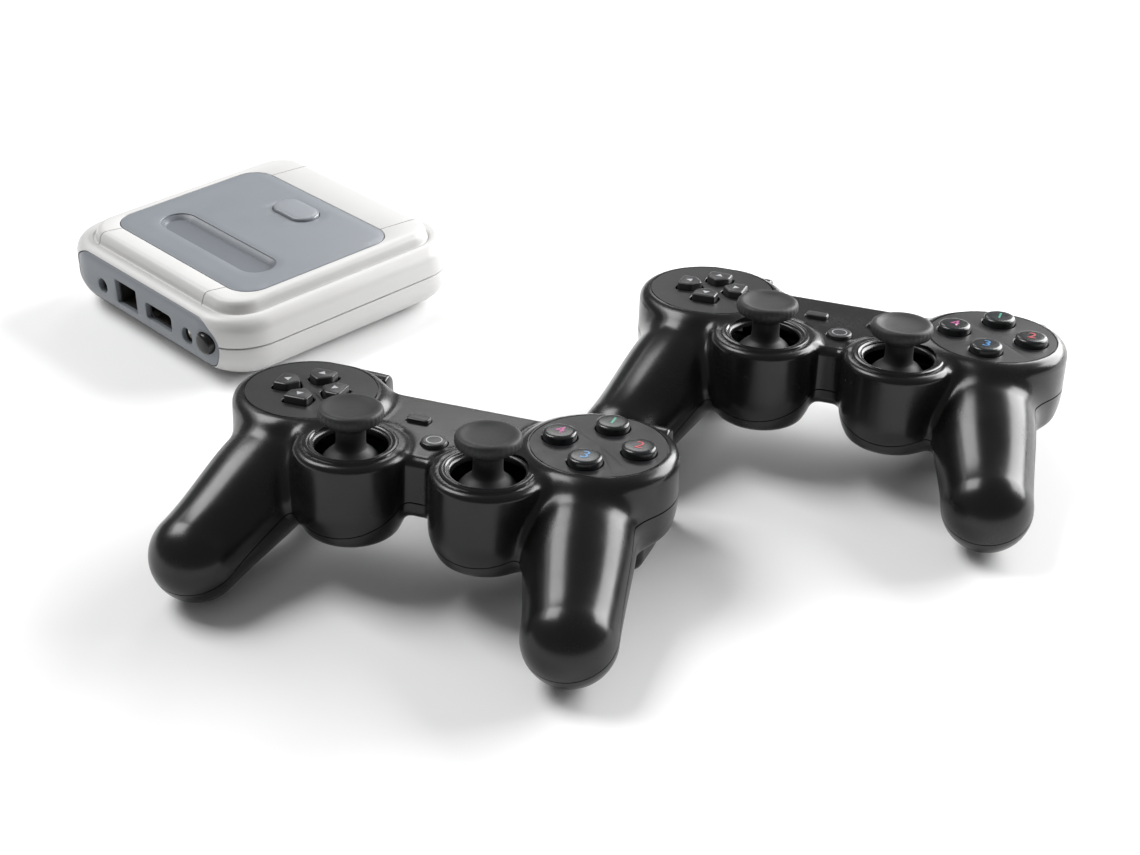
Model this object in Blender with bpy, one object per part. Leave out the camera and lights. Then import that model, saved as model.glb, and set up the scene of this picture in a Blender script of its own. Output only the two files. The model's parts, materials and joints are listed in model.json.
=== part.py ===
"""Square mini game console with two wireless twin-grip gamepads, modelled piece by piece.

The set stands on z = 0 with its bounding box centred on the origin. The console's port side faces -Y.
Each gamepad has its own empty at its face plane: +X is the player's right, +Y points away from the
player and +Z stands up from the face.
"""

import math

import bmesh
import bpy
from mathutils import Matrix, Vector

MM = 0.001
GAP = 0.3  # millimetres left between neighbouring pieces

# ---------------------------------------------------------------- layout, in millimetres
CONSOLE_PLACE = (-125.5, 0.9)
PAD_PLACES = {"pad_1": (51.5, -62.6, 26.0), "pad_2": (92.5, 76.4, 26.0)}  # x, y and yaw in degrees
PAD_TILT = -5.88  # the gamepads rest on their grip ends and on their trigger housings
PAD_RISE = 41.33

# ---------------------------------------------------------------- console, in millimetres
SIDE = 110.0
CORNER = 19.5
CORNER_STEPS = 5
BOTTOM = 1.0
OUTSIDE = 60.0  # a distance beyond every side, for cutters
PARTING = 15.0
WALL = 2.0
SHOULDER = 20.5
SHOULDER_R = 5.2
CEILING = 23.3
GROOVE_INSET = 7.0
GROOVE = 24.7
DECK = 29.3
DECK_INSET = 10.4
TUCK = 11.5
TUCK_RISE = 12.0

LID_SIZE = (84.4, 68.3)
LID_Y = -4.2
LID_CORNER = 9.5
LID_BOTTOM = 26.0
SEAMS_FRONT = (-33.4, 32.4, 0.33)
SEAMS_REAR = (-33.4, 33.4, 0.15)
STRIP_BOTTOM = 25.2
SLOT_X = (-31.0, 31.5)
SLOT_Y = (-27.0, -13.0)
SLOT_DEPTH = 2.0
KEY_SIZE = (21.0, 11.5)
KEY_AT = (-0.5, 17.0)
KEY_TOP = 30.4

PANEL_HALF = 44.6
PANEL_Z = (4.2, 23.9)
PANEL_BACK = 44.0
PANEL_SET_BACK = 0.25
PANEL_THICK = 2.0

BOARD_Z = (7.4, 9.0)
SOCKET_FRONT = 51.6
POWER_AT = (39.0, 15.4)
POWER_R = 3.9
AV_AT = (-25.6, 13.9)
AV_R = 2.9
LAN_X = (-16.7, -3.3)
LAN_Z = (10.4, 20.0)
HDMI_X = (2.7, 18.8)
HDMI_Z = (11.4, 18.0)
DC_AT = (28.3, 14.1)
DC_R = 3.2
USB_X = (-28.0, -6.0)
USB_OPENING = (13.4, 6.0)
USB_Z = 13.6
CARD_X = 24.0
CARD_OPENING = (13.0, 2.6)
CARD_Z = 11.6
FOOT_AT = 34.0
FOOT_R = 5.0

# ---------------------------------------------------------------- gamepad, in millimetres
POD_AT = (47.5, 12.0)
POD_PROFILE = (
    (22.0, -24.0),
    (23.6, -20.0),
    (24.5, -12.0),
    (24.5, -4.0),
    (23.4, -0.2),
    (21.0, 2.0),
    (17.5, 3.0),
)
POD_TOP = POD_PROFILE[-1][1]
GRIP_PATH = (
    (47.0, 8.0, -9.0, 14.5),
    (50.0, -8.0, -13.0, 16.5),
    (54.0, -22.0, -19.5, 16.5),
    (57.5, -34.5, -26.5, 15.5),
    (60.0, -45.0, -32.5, 14.0),
)
WELL_PROFILE = (
    (13.5, -28.0),
    (16.5, -24.0),
    (17.5, -14.0),
    (17.5, -2.0),
    (16.6, 0.4),
    (15.0, 1.0),
)
BRIDGE_X = 42.0
BRIDGE_Y = (-14.0, 28.0)
BRIDGE_Z = (-20.0, 0.0)
HOUSING_X = (32.0, 63.0)
HOUSING_Y = (10.0, 31.0)
HOUSING_Z = (-38.5, -6.0)
FRONT_Y = 34.5
PAD_SHELL = 2.2
PAD_PARTING = -11.0
PARTING_BEND_Y = -8.0
PARTING_SLOPE = 30.0

STICK_AT = (22.0, -13.0)
STICK_PIVOT = -10.0
STICK_HOLE_R = 10.8
STICK_TOP = 13.0
SKIRT_R = 10.8
BUTTON_SPACING = 12.5
BUTTON_R = 5.2
BUTTON_TOP = 5.5
LEAF_REACH = (3.6, 11.4)
LEAF_HALF_WIDTH = 4.0
LEAF_PLAY = 0.8
DPAD_TOP = POD_TOP + 2.2
DPAD_PIVOT = -3.0
DPAD_DISC = (12.0, -3.0, -1.3)
SELECT_AT = (-10.5, 11.0)
START_AT = (10.5, 11.0)
MODE_AT = (0.0, -1.5)
MODE_R = 4.0
MIDDLE_KEY_TOP = 1.2
BUMPER_X = (33.5, 61.5)
BUMPER_STEM = (9.0, (30.0, 37.0), (-8.8, -4.6))
TRIGGER_EAR = (6.0, (30.0, 37.0), (-17.4, -13.6))
BUMPER_WINDOW = (9.6, (24.0, 50.0), (-9.2, -4.2))
TRIGGER_WINDOW = (6.6, (24.0, 50.0), (-20.0, -12.0))
TRIGGER_AXIS = (31.6, -15.5)
PAD_BOARD_Z = (-17.4, -15.8)

# ---------------------------------------------------------------- finishes: colour, roughness, metallic
FINISHES = {
    "cream": ((0.78, 0.77, 0.75), 0.45, 0.0),
    "grey": ((0.26, 0.28, 0.31), 0.4, 0.0),
    "key": ((0.28, 0.3, 0.33), 0.35, 0.0),
    "gloss": ((0.01, 0.01, 0.01), 0.12, 0.0),
    "black": ((0.02, 0.02, 0.02), 0.5, 0.0),
    "metal": ((0.6, 0.6, 0.58), 0.35, 1.0),
    "board": ((0.02, 0.12, 0.05), 0.5, 0.0),
    "alloy": ((0.55, 0.56, 0.58), 0.4, 1.0),
    "rubber": ((0.05, 0.05, 0.05), 0.85, 0.0),
}


# ================================================================ tools
def clear_scene():
    for item in list(bpy.data.objects):
        bpy.data.objects.remove(item, do_unlink=True)


def material(name, colour, roughness, metallic=0.0):
    result = bpy.data.materials.new(name)
    result.use_nodes = True
    shader = result.node_tree.nodes["Principled BSDF"]
    shader.inputs["Base Color"].default_value = (*colour, 1.0)
    shader.inputs["Roughness"].default_value = roughness
    shader.inputs["Metallic"].default_value = metallic
    return result


def empty(name, place, turn=(0.0, 0.0, 0.0), parent=None):
    result = bpy.data.objects.new(name, None)
    result.location = [value * MM for value in place]
    result.rotation_euler = [math.radians(angle) for angle in turn]
    result.parent = parent
    bpy.context.collection.objects.link(result)
    return result


def arc(centre, radius, start, stop, steps):
    """Points on a circular arc, angles in degrees."""
    points = []
    for step in range(steps + 1):
        angle = math.radians(start + (stop - start) * step / steps)
        points.append((centre[0] + radius * math.cos(angle), centre[1] + radius * math.sin(angle)))
    return points


def rounded_rectangle(size, corner, steps=CORNER_STEPS, centre=(0.0, 0.0)):
    half_x = size[0] / 2
    half_y = size[1] / 2
    corner = min(corner, half_x - 0.001, half_y - 0.001)
    points = []
    for quarter, (sign_x, sign_y) in enumerate(((1, 1), (-1, 1), (-1, -1), (1, -1))):
        middle = (centre[0] + sign_x * (half_x - corner), centre[1] + sign_y * (half_y - corner))
        points += arc(middle, corner, quarter * 90, quarter * 90 + 90, steps)
    return points


def circle(centre, radius, steps):
    return arc(centre, radius, 0, 360 - 360 / steps, steps - 1)


def loft(rings):
    """Closed skin through rings of (x, y, z) points, with both ends capped."""
    mesh = bmesh.new()
    rows = [[mesh.verts.new(point) for point in ring] for ring in rings]
    count = len(rows[0])
    for low, high in zip(rows, rows[1:]):
        for index in range(count):
            after = (index + 1) % count
            mesh.faces.new((low[index], low[after], high[after], high[index]))
    mesh.faces.new(list(reversed(rows[0])))
    mesh.faces.new(rows[-1])
    bmesh.ops.recalc_face_normals(mesh, faces=mesh.faces)
    return mesh


def prism(outline, low, high):
    """Solid between two heights over a plan outline."""
    return loft([[(x, y, z) for x, y in outline] for z in (low, high)])


def block(low, high):
    outline = ((low[0], low[1]), (high[0], low[1]), (high[0], high[1]), (low[0], high[1]))
    return prism(outline, low[2], high[2])


def turned(profile, steps, centre=(0.0, 0.0)):
    """Solid of revolution about +Z; the profile lists (radius, height) off the axis, end to end."""
    rings = []
    for radius, height in profile:
        rings.append([(x, y, height) for x, y in circle(centre, radius, steps)])
    return loft(rings)


def facing_front(mesh):
    """Turns a solid built along +Z so that its +Z points to -Y and its plan height becomes Z."""
    bmesh.ops.transform(mesh, matrix=Matrix.Rotation(math.radians(90), 4, "X"), verts=mesh.verts)
    return mesh


def across_x(outline, low, high):
    """Solid between two X values over an outline of (y, z) points."""
    return loft([[(x, y, z) for y, z in outline] for x in (low, high)])


def piece(name, mesh, finish, parent, origin=(0.0, 0.0, 0.0)):
    """Makes a named object from a solid in its parent's millimetres, with its origin at a given point.

    The object gets its own copy of the finish.
    """
    data = bpy.data.meshes.new(name)
    bmesh.ops.triangulate(mesh, faces=[face for face in mesh.faces if len(face.verts) > 4])
    bmesh.ops.translate(mesh, vec=-Vector(origin), verts=mesh.verts)
    bmesh.ops.scale(mesh, vec=(MM, MM, MM), verts=mesh.verts)
    mesh.to_mesh(data)
    mesh.free()
    result = bpy.data.objects.new(name, data)
    result.location = [value * MM for value in origin]
    result.parent = parent
    own_finish = finish.copy()
    own_finish.name = name
    data.materials.append(own_finish)
    bpy.context.collection.objects.link(result)
    data.shade_smooth()
    data.set_sharp_from_angle(angle=math.radians(35))
    return result


def combine(mesh, other, operation):
    """Boolean of two solids, both in millimetres; the second one is used up."""
    holders = []
    for part in (mesh, other):
        data = bpy.data.meshes.new("solid")
        part.to_mesh(data)
        part.free()
        holder = bpy.data.objects.new("solid", data)
        bpy.context.collection.objects.link(holder)
        holders.append(holder)
    step = holders[0].modifiers.new("cut", "BOOLEAN")
    step.operation = operation
    step.solver = "EXACT"
    step.object = holders[1]
    graph = bpy.context.evaluated_depsgraph_get()
    result = bmesh.new()
    result.from_mesh(holders[0].evaluated_get(graph).to_mesh())
    for holder in holders:
        data = holder.data
        bpy.data.objects.remove(holder, do_unlink=True)
        bpy.data.meshes.remove(data)
    bmesh.ops.remove_doubles(result, verts=result.verts, dist=0.0005)
    bmesh.ops.dissolve_degenerate(result, edges=result.edges, dist=0.0005)
    return result


def cut(mesh, *cutters):
    for cutter in cutters:
        mesh = combine(mesh, cutter, "DIFFERENCE")
    return mesh


def add(mesh, *others):
    for other in others:
        mesh = combine(mesh, other, "UNION")
    return mesh


def keep(mesh, *volumes):
    for volume in volumes:
        mesh = combine(mesh, volume, "INTERSECT")
    return mesh


# ================================================================ console
def console_ring(inset, height):
    size = SIDE - 2 * inset
    outline = rounded_rectangle((size, size), CORNER - inset)
    return [(x, y, height) for x, y in outline]


def console_loft(profile):
    """Solid of the console's rounded-square plan; the profile lists (inset, height) from the bottom up."""
    return loft([console_ring(inset, height) for inset, height in profile])


def base_profile(wall=0.0, top=PARTING):
    """Lower casing: a quarter ellipse from the flat bottom out to the upright side."""
    steps = 5
    points = []
    for step in range(steps + 1):
        angle = math.radians(90 * step / steps)
        inset = TUCK * (1 - math.sin(angle)) + wall
        points.append((inset, BOTTOM + wall + (TUCK_RISE - wall) * (1 - math.cos(angle))))
    return points + [(wall, top)]


def deck_profile(low, wall=0.0):
    """Upper casing: upright side, round shoulder, groove and the raised deck."""
    shoulder = [
        (SHOULDER_R - x, y)
        for x, y in arc((0.0, SHOULDER), SHOULDER_R, 0, 90, 4)
    ]
    rise = [
        (GROOVE_INSET - 0.8, 25.3),
        (GROOVE_INSET, GROOVE),
        (GROOVE_INSET + 0.5, 25.3),
        (GROOVE_INSET + 0.9, 27.2),
        (GROOVE_INSET + 1.8, 28.7),
        (DECK_INSET, DECK),
    ]
    return [(wall, low)] + shoulder + rise


def ceiling_profile(low):
    """Inside of the upper casing."""
    return [(WALL, low), (WALL, SHOULDER - 0.3), (4.2, 22.8), (6.5, CEILING)]


def console_envelope():
    return console_loft(base_profile(top=PARTING - 0.5)[:-1] + deck_profile(PARTING))


def panel_outline(grow):
    low, high = PANEL_Z
    size = (2 * PANEL_HALF + 2 * grow, high - low + 2 * grow)
    return rounded_rectangle(size, size[1] / 2 - 0.01, 6, (0.0, (low + high) / 2))


def panel_volume(grow):
    """Upright stadium, from outside the port side to just behind the panel."""
    return facing_front(prism(panel_outline(grow), PANEL_BACK - grow, OUTSIDE))


def lid_outline(grow):
    size = (LID_SIZE[0] + 2 * grow, LID_SIZE[1] + 2 * grow)
    return rounded_rectangle(size, LID_CORNER + grow, CORNER_STEPS, (0.0, LID_Y))


def key_outline(grow):
    size = (KEY_SIZE[0] + 2 * grow, KEY_SIZE[1] + 2 * grow)
    return rounded_rectangle(size, size[1] / 2 - 0.01, 5, KEY_AT)


def strip_box(side, grow):
    """Volume of the deck strip at the front (side -1) or the rear (side 1), between leaning seams."""
    left, right, lean = SEAMS_FRONT if side < 0 else SEAMS_REAR
    lid_edge = LID_Y + side * LID_SIZE[1] / 2
    inner = lid_edge + side * (GAP - grow)
    outer = side * (SIDE / 2 - GROOVE_INSET - 0.05)
    shift = lean * (outer - inner)
    outline = [
        (left - grow, inner),
        (right + grow, inner),
        (right + grow + shift, outer),
        (left - grow + shift, outer),
    ]
    return prism(outline, STRIP_BOTTOM - grow, DECK + 2)


def rear_openings():
    shapes = []
    for x in USB_X:
        outline = rounded_rectangle((USB_OPENING[0] + 1, USB_OPENING[1] + 1), 0.8, 2, (x, USB_Z))
        shapes.append(facing_front(prism(outline, -OUTSIDE, -50.0)))
    outline = rounded_rectangle(CARD_OPENING, 1.0, 2, (CARD_X, CARD_Z))
    shapes.append(facing_front(prism(outline, -OUTSIDE, -50.0)))
    return shapes


def base_shell(finish, parent):
    shape = console_loft(base_profile(top=PARTING - GAP / 2))
    shape = cut(shape, console_loft(base_profile(WALL, PARTING + 2)))
    for x in (-36.0, 36.0):
        for y in (-32.0, 32.0):
            post = turned([(3.2, 2.0), (3.2, BOARD_Z[0] - GAP)], 10, (x, y))
            shape = add(shape, post)
    shape = cut(shape, panel_volume(GAP), *rear_openings())
    return piece("base_shell", shape, finish, parent)


def top_shell(finish, parent):
    shape = console_loft(deck_profile(PARTING + GAP / 2))
    shape = cut(shape, console_loft(ceiling_profile(PARTING - 2)))
    shape = cut(shape, prism(lid_outline(GAP), LID_BOTTOM - GAP, DECK + 2))
    shape = cut(shape, strip_box(-1, GAP), strip_box(1, GAP))
    shape = cut(shape, turned([(3.0, 20.0), (3.0, 28.0)], 12, KEY_AT))
    shape = cut(shape, panel_volume(GAP), *rear_openings())
    return piece("top_shell", shape, finish, parent)


def lid_panel(finish, parent):
    shape = prism(lid_outline(0.0), LID_BOTTOM, DECK)
    size = (SLOT_X[1] - SLOT_X[0], SLOT_Y[1] - SLOT_Y[0])
    centre = (sum(SLOT_X) / 2, sum(SLOT_Y) / 2)
    rings = []
    for inset, height in ((1.6, DECK - SLOT_DEPTH), (0.0, DECK), (0.0, DECK + 1)):
        inner = (size[0] - 2 * inset, size[1] - 2 * inset)
        outline = rounded_rectangle(inner, inner[1] / 2 - 0.01, 5, centre)
        rings.append([(x, y, height) for x, y in outline])
    shape = cut(shape, loft(rings), prism(key_outline(GAP), 20.0, DECK + 2))
    return piece("lid_panel", shape, finish, parent)


def trim_strip(name, side, finish, parent):
    shape = keep(console_loft(deck_profile(PARTING)), strip_box(side, 0.0))
    return piece(name, shape, finish, parent)


def corner_box(span_x, span_z, corner):
    size = (span_x[1] - span_x[0], span_z[1] - span_z[0])
    return rounded_rectangle(size, corner, 2, (sum(span_x) / 2, sum(span_z) / 2))


def port_panel(finish, parent):
    skin = console_envelope()
    scale = 1 - 2 * PANEL_SET_BACK / SIDE
    bmesh.ops.scale(skin, vec=(scale, scale, 1.0), verts=skin.verts)
    shape = keep(skin, panel_volume(0.0))
    shape = cut(shape, console_loft(base_profile(PANEL_SET_BACK + PANEL_THICK, DECK)))
    openings = [
        prism(circle(AV_AT, AV_R, 16), 40.0, OUTSIDE),
        prism(circle(DC_AT, DC_R, 16), 40.0, OUTSIDE),
        prism(circle(POWER_AT, POWER_R + GAP, 20), 40.0, OUTSIDE),
        prism(corner_box(LAN_X, LAN_Z, 0.5), 40.0, OUTSIDE),
        prism(corner_box(HDMI_X, HDMI_Z, 1.2), 40.0, OUTSIDE),
    ]
    shape = cut(shape, *[facing_front(opening) for opening in openings])
    return piece("port_panel", shape, finish, parent)


def power_button(finish, parent):
    profile = [
        (POWER_R, 46.0),
        (POWER_R, 55.2),
        (POWER_R - 0.4, 55.9),
        (POWER_R - 1.4, 56.3),
    ]
    shape = facing_front(turned(profile, 20, POWER_AT))
    return piece("power_button", shape, finish, parent, (POWER_AT[0], -46.0, POWER_AT[1]))


def top_key(finish, parent):
    rings = []
    for inset, height in ((0.0, 27.2), (0.0, KEY_TOP - 0.6), (0.8, KEY_TOP)):
        size = (KEY_SIZE[0] - 2 * inset, KEY_SIZE[1] - 2 * inset)
        outline = rounded_rectangle(size, size[1] / 2 - 0.01, 5, KEY_AT)
        rings.append([(x, y, height) for x, y in outline])
    shape = add(loft(rings), turned([(2.4, 20.6), (2.4, 28.0)], 12, KEY_AT))
    return piece("top_key", shape, finish, parent, (*KEY_AT, 27.2))


def socket_block(outline, hollow, back, front, depth):
    """Socket body facing -Y: an outline with a blind hollow in its front face."""
    shape = facing_front(prism(outline, back, front))
    return cut(shape, facing_front(prism(hollow, front - depth, front + 1)))


def sockets(finishes, parent):
    front = SOCKET_FRONT
    low = BOARD_Z[1] + GAP

    body = corner_box((AV_AT[0] - 4.2, AV_AT[0] + 4.2), (low, AV_AT[1] + 4.4), 0.4)
    shape = socket_block(body, circle(AV_AT, 1.8, 12), front - 12, front, 10)
    piece("av_jack", shape, finishes["black"], parent)

    body = corner_box((LAN_X[0] - 0.8, LAN_X[1] + 0.8), (low, LAN_Z[1] + 0.8), 0.3)
    hollow = corner_box((LAN_X[0] + 0.8, LAN_X[1] - 0.8), (LAN_Z[0] + 0.4, LAN_Z[1] - 0.8), 0.2)
    shape = socket_block(body, hollow, front - 16, front, 13)
    piece("lan_jack", shape, finishes["metal"], parent)

    middle = sum(HDMI_X) / 2
    body = corner_box((middle - 7.8, middle + 7.8), (low, 17.6), 0.3)
    top = 17.0
    hollow = (
        (middle - 5.2, 12.2),
        (middle + 5.2, 12.2),
        (middle + 7.0, 13.8),
        (middle + 7.0, top),
        (middle - 7.0, top),
        (middle - 7.0, 13.8),
    )
    shape = socket_block(body, hollow, front - 11, front, 9)
    tongue = block((middle - 5.6, 2.0 - front, 14.4), (middle + 5.6, 9.5 - front, 15.6))
    shape = add(shape, tongue)
    piece("hdmi_socket", shape, finishes["metal"], parent)

    body = corner_box((DC_AT[0] - 4.6, DC_AT[0] + 4.6), (low, DC_AT[1] + 4.8), 0.4)
    shape = socket_block(body, circle(DC_AT, 2.9, 16), front - 13, front, 10)
    shape = add(shape, facing_front(turned([(0.8, front - 10.5), (0.8, front - 1.5)], 8, DC_AT)))
    piece("dc_jack", shape, finishes["black"], parent)


def rear_sockets(finishes, parent):
    front = SOCKET_FRONT
    low = BOARD_Z[1] + GAP
    body = corner_box((USB_X[0] - 7.6, USB_X[1] + 7.6), (low, USB_Z + 4.2), 0.3)
    shape = facing_front(prism(body, -front, -front + 15))
    for x in USB_X:
        half = (USB_OPENING[0] / 2, USB_OPENING[1] / 2)
        hollow = corner_box((x - half[0], x + half[0]), (USB_Z - half[1], USB_Z + half[1]), 0.2)
        shape = cut(shape, facing_front(prism(hollow, -front - 1, -front + 12)))
        tongue = block((x - 5.6, front - 12.5, USB_Z - 0.9), (x + 5.6, front - 1.5, USB_Z + 0.9))
        shape = add(shape, tongue)
    piece("usb_socket", shape, finishes["metal"], parent)

    body = corner_box((CARD_X - 7.4, CARD_X + 7.4), (low, CARD_Z + 1.7), 0.2)
    shape = facing_front(prism(body, -front, -front + 15))
    hollow = corner_box((CARD_X - 6.2, CARD_X + 6.2), (CARD_Z - 1.0, CARD_Z + 0.9), 0.2)
    shape = cut(shape, facing_front(prism(hollow, -front - 1, -front + 12)))
    piece("card_slot", shape, finishes["metal"], parent)


def main_board(finish, parent):
    outline = rounded_rectangle((92.0, 96.0), 8.0, 2, (0.0, 1.0))
    return piece("main_board", prism(outline, *BOARD_Z), finish, parent)


def heat_sink(finish, parent):
    """Comb of fins on a thick sole, standing on the board's processor."""
    low = BOARD_Z[1] + GAP
    outline = [(-20.0, low), (20.0, low)]
    fins = 6
    pitch = 40.0 / (2 * fins - 1)
    for fin in reversed(range(fins)):
        right = -20.0 + (2 * fin + 1) * pitch
        left = right - pitch
        outline += [(right, 18.6), (left, 18.6)]
        if fin:
            outline += [(left, low + 2.5), (left - pitch, low + 2.5)]
    shape = facing_front(prism(outline, -20.0, 20.0))
    return piece("heat_sink", shape, finish, parent)


def feet(finish, parent):
    for number, (sign_x, sign_y) in enumerate(((-1, -1), (1, -1), (-1, 1), (1, 1)), 1):
        profile = [(FOOT_R - 0.4, 0.0), (FOOT_R, 0.3), (FOOT_R, BOTTOM - 0.05)]
        centre = (sign_x * FOOT_AT, sign_y * FOOT_AT)
        piece(f"foot_{number}", turned(profile, 12, centre), finish, parent)


def console(finishes):
    parent = empty("console", (*CONSOLE_PLACE, 0.0))
    base_shell(finishes["cream"], parent)
    top_shell(finishes["cream"], parent)
    lid_panel(finishes["grey"], parent)
    trim_strip("trim_strip_front", -1, finishes["cream"], parent)
    trim_strip("trim_strip_rear", 1, finishes["cream"], parent)
    port_panel(finishes["grey"], parent)
    power_button(finishes["gloss"], parent)
    top_key(finishes["key"], parent)
    sockets(finishes, parent)
    rear_sockets(finishes, parent)
    main_board(finishes["board"], parent)
    heat_sink(finishes["alloy"], parent)
    feet(finishes["rubber"], parent)


# ================================================================ gamepad
def swept(path, side, shrink, steps=16, cap_steps=3):
    """Round bar through (x, y, z, radius) stations, mirrored by side, with a rounded far end."""
    stations = [(Vector((side * x, y, z)), radius - shrink) for x, y, z, radius in path]
    tip, radius = stations[-1]
    ahead = (tip - stations[-2][0]).normalized()
    for step in range(1, cap_steps + 1):
        angle = math.radians(75 * step / cap_steps)
        stations.append((tip + ahead * radius * 0.85 * math.sin(angle), radius * math.cos(angle)))
    rings = []
    for index, (centre, reach) in enumerate(stations):
        before = stations[max(index - 1, 0)][0]
        after = stations[min(index + 1, len(stations) - 1)][0]
        across = (after - before).cross(Vector((0, 0, 1))).normalized()
        upward = across.cross(after - before).normalized()
        ring = []
        for step in range(steps):
            angle = 2 * math.pi * step / steps
            ring.append(centre + (across * math.cos(angle) + upward * math.sin(angle)) * reach)
        rings.append(ring)
    return loft(rings)


def shrunk_profile(profile, shrink):
    """Turned outline moved inwards: smaller radius, lower top and higher bottom."""
    middle = (profile[0][1] + profile[-1][1]) / 2
    points = []
    for radius, height in profile:
        lift = shrink if height < middle - 6 else (-shrink if height > middle + 6 else 0.0)
        points.append((radius - shrink, height + lift))
    return points


def bridge(shrink):
    """Middle of the gamepad between the two pods, with eased edges."""
    low, high = BRIDGE_Z
    rings = []
    for inset, height in ((3.0, low), (0.0, low + 3), (0.0, high - 2), (2.0, high)):
        lift = shrink if height < -10 else -shrink
        reach = 2 * (BRIDGE_X - inset - shrink)
        depth = BRIDGE_Y[1] - BRIDGE_Y[0] - 2 * (inset + shrink)
        outline = rounded_rectangle((reach, depth), 5.0, 2, (0.0, sum(BRIDGE_Y) / 2))
        rings.append([(x, y, height + lift) for x, y in outline])
    return loft(rings)


def trigger_housing(side, shrink):
    """Mount of the bumper and the trigger under each pod; its lower front edge rests on the table."""
    centre = (side * sum(HOUSING_X) / 2, sum(HOUSING_Y) / 2)
    low, high = HOUSING_Z
    rings = []
    for inset, height in ((3.0, low), (0.0, low + 4), (0.0, high)):
        size = (
            HOUSING_X[1] - HOUSING_X[0] - 2 * (inset + shrink),
            HOUSING_Y[1] - HOUSING_Y[0] - 2 * (inset * 0.5 + shrink),
        )
        outline = rounded_rectangle(size, 5.0, 2, centre)
        lift = shrink if height < -20 else -shrink
        rings.append([(x, y, height + lift) for x, y in outline])
    return loft(rings)


def pad_form(shrink, steps):
    """Outer form of the gamepad, or with a shrink the simpler hollow inside it."""
    pick = slice(None, None, 2 if shrink else 1)
    pod = shrunk_profile(POD_PROFILE[pick], shrink)
    well = shrunk_profile(WELL_PROFILE[pick], shrink)
    shape = bridge(shrink)
    for side in (-1, 1):
        pod_centre = (side * POD_AT[0], POD_AT[1])
        well_centre = (side * STICK_AT[0], STICK_AT[1])
        shape = add(
            shape,
            turned(pod, steps, pod_centre),
            swept(GRIP_PATH, side, shrink, steps * 3 // 4),
            turned(well, steps - 2, well_centre),
            trigger_housing(side, shrink),
        )
    return cut(shape, block((-90, FRONT_Y - shrink, -60), (90, 60, 20)))


def parting_volume(upper):
    """Everything above or below the parting surface, which bends down along the grips."""
    offset = GAP / 2 if upper else -GAP / 2
    level = PAD_PARTING + offset
    drop = (PARTING_BEND_Y + 90) * math.tan(math.radians(PARTING_SLOPE))
    far = 30.0 if upper else -90.0
    outline = [(60, level), (PARTING_BEND_Y, level), (-90, level - drop), (-90, far), (60, far)]
    return across_x(outline, -90, 90)


def button_places():
    """Face buttons 1 to 4: far, right, near and left."""
    x, y = POD_AT
    step = BUTTON_SPACING
    return [(x, y + step), (x + step, y), (x, y - step), (x - step, y)]


def leaf(quarter, grow):
    """Outline of one arm of the direction pad, pointed towards the middle."""
    low, high = LEAF_REACH
    half = LEAF_HALF_WIDTH + grow
    shape = [
        (low - grow, 0.0),
        (low + 3.0, -half),
        (high + grow, -half),
        (high + grow, half),
        (low + 3.0, half),
    ]
    turn = Matrix.Rotation(math.radians(90 * quarter), 2)
    centre = Vector((-POD_AT[0], POD_AT[1]))
    return [tuple(turn @ Vector(point) + centre) for point in shape]


def small_key(centre, grow):
    return rounded_rectangle((7.4 + 2 * grow, 3.8 + 2 * grow), 1.2 + grow, 2, centre)


def pod_block(side, sizes):
    """Block on a pod's centre line; sizes are its half width and its spans in Y and Z."""
    half, span_y, span_z = sizes
    middle = side * POD_AT[0]
    return block((middle - half, span_y[0], span_z[0]), (middle + half, span_y[1], span_z[1]))


def pad_shells(name, finish, parent):
    whole = cut(pad_form(0.0, 20), pad_form(PAD_SHELL, 12))
    for side in (-1, 1):
        whole = cut(whole, pod_block(side, BUMPER_WINDOW), pod_block(side, TRIGGER_WINDOW))
    lower = keep(whole.copy(), parting_volume(False))
    upper = keep(whole, parting_volume(True))
    for x, y in button_places():
        upper = cut(upper, turned([(BUTTON_R + GAP, -4), (BUTTON_R + GAP, 9)], 12, (x, y)))
    for quarter in range(4):
        upper = cut(upper, prism(leaf(quarter, LEAF_PLAY), -4, 9))
    for side in (-1, 1):
        centre = (side * STICK_AT[0], STICK_AT[1])
        upper = cut(upper, turned([(STICK_HOLE_R, -8), (STICK_HOLE_R, 9)], 16, centre))
    mode_hole = circle(MODE_AT, MODE_R + GAP, 12)
    for outline in (small_key(SELECT_AT, GAP), small_key(START_AT, GAP), mode_hole):
        upper = cut(upper, prism(outline, -6, 9))
    piece(f"{name}_upper_shell", upper, finish, parent)
    piece(f"{name}_lower_shell", lower, finish, parent)


def direction_pad(name, finish, dark, parent):
    centre = (-POD_AT[0], POD_AT[1])
    reach, low, high = DPAD_DISC
    shape = turned([(reach, low), (reach, high)], 14, centre)
    for quarter in range(4):
        shape = add(shape, prism(leaf(quarter, 0.0), high - 0.6, DPAD_TOP))
    origin = (*centre, DPAD_PIVOT)
    piece(f"{name}_dpad", shape, finish, parent, origin)
    post = turned([(2.2, PAD_BOARD_Z[1] + GAP), (2.2, -5.4), (1.2, DPAD_PIVOT - 0.4)], 10, centre)
    piece(f"{name}_dpad_pivot", post, dark, parent, origin)


def face_buttons(name, finishes, parent):
    for number, (x, y) in enumerate(button_places(), 1):
        profile = [
            (2.5, PAD_BOARD_Z[1] + 2.4),
            (2.5, -2.9),
            (6.2, -2.7),
            (6.2, -1.5),
            (BUTTON_R, -1.4),
            (BUTTON_R, BUTTON_TOP),
        ]
        shape = turned(profile, 12, (x, y))
        piece(f"{name}_button_{number}", shape, finishes["black"], parent, (x, y, 0.0))


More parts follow.
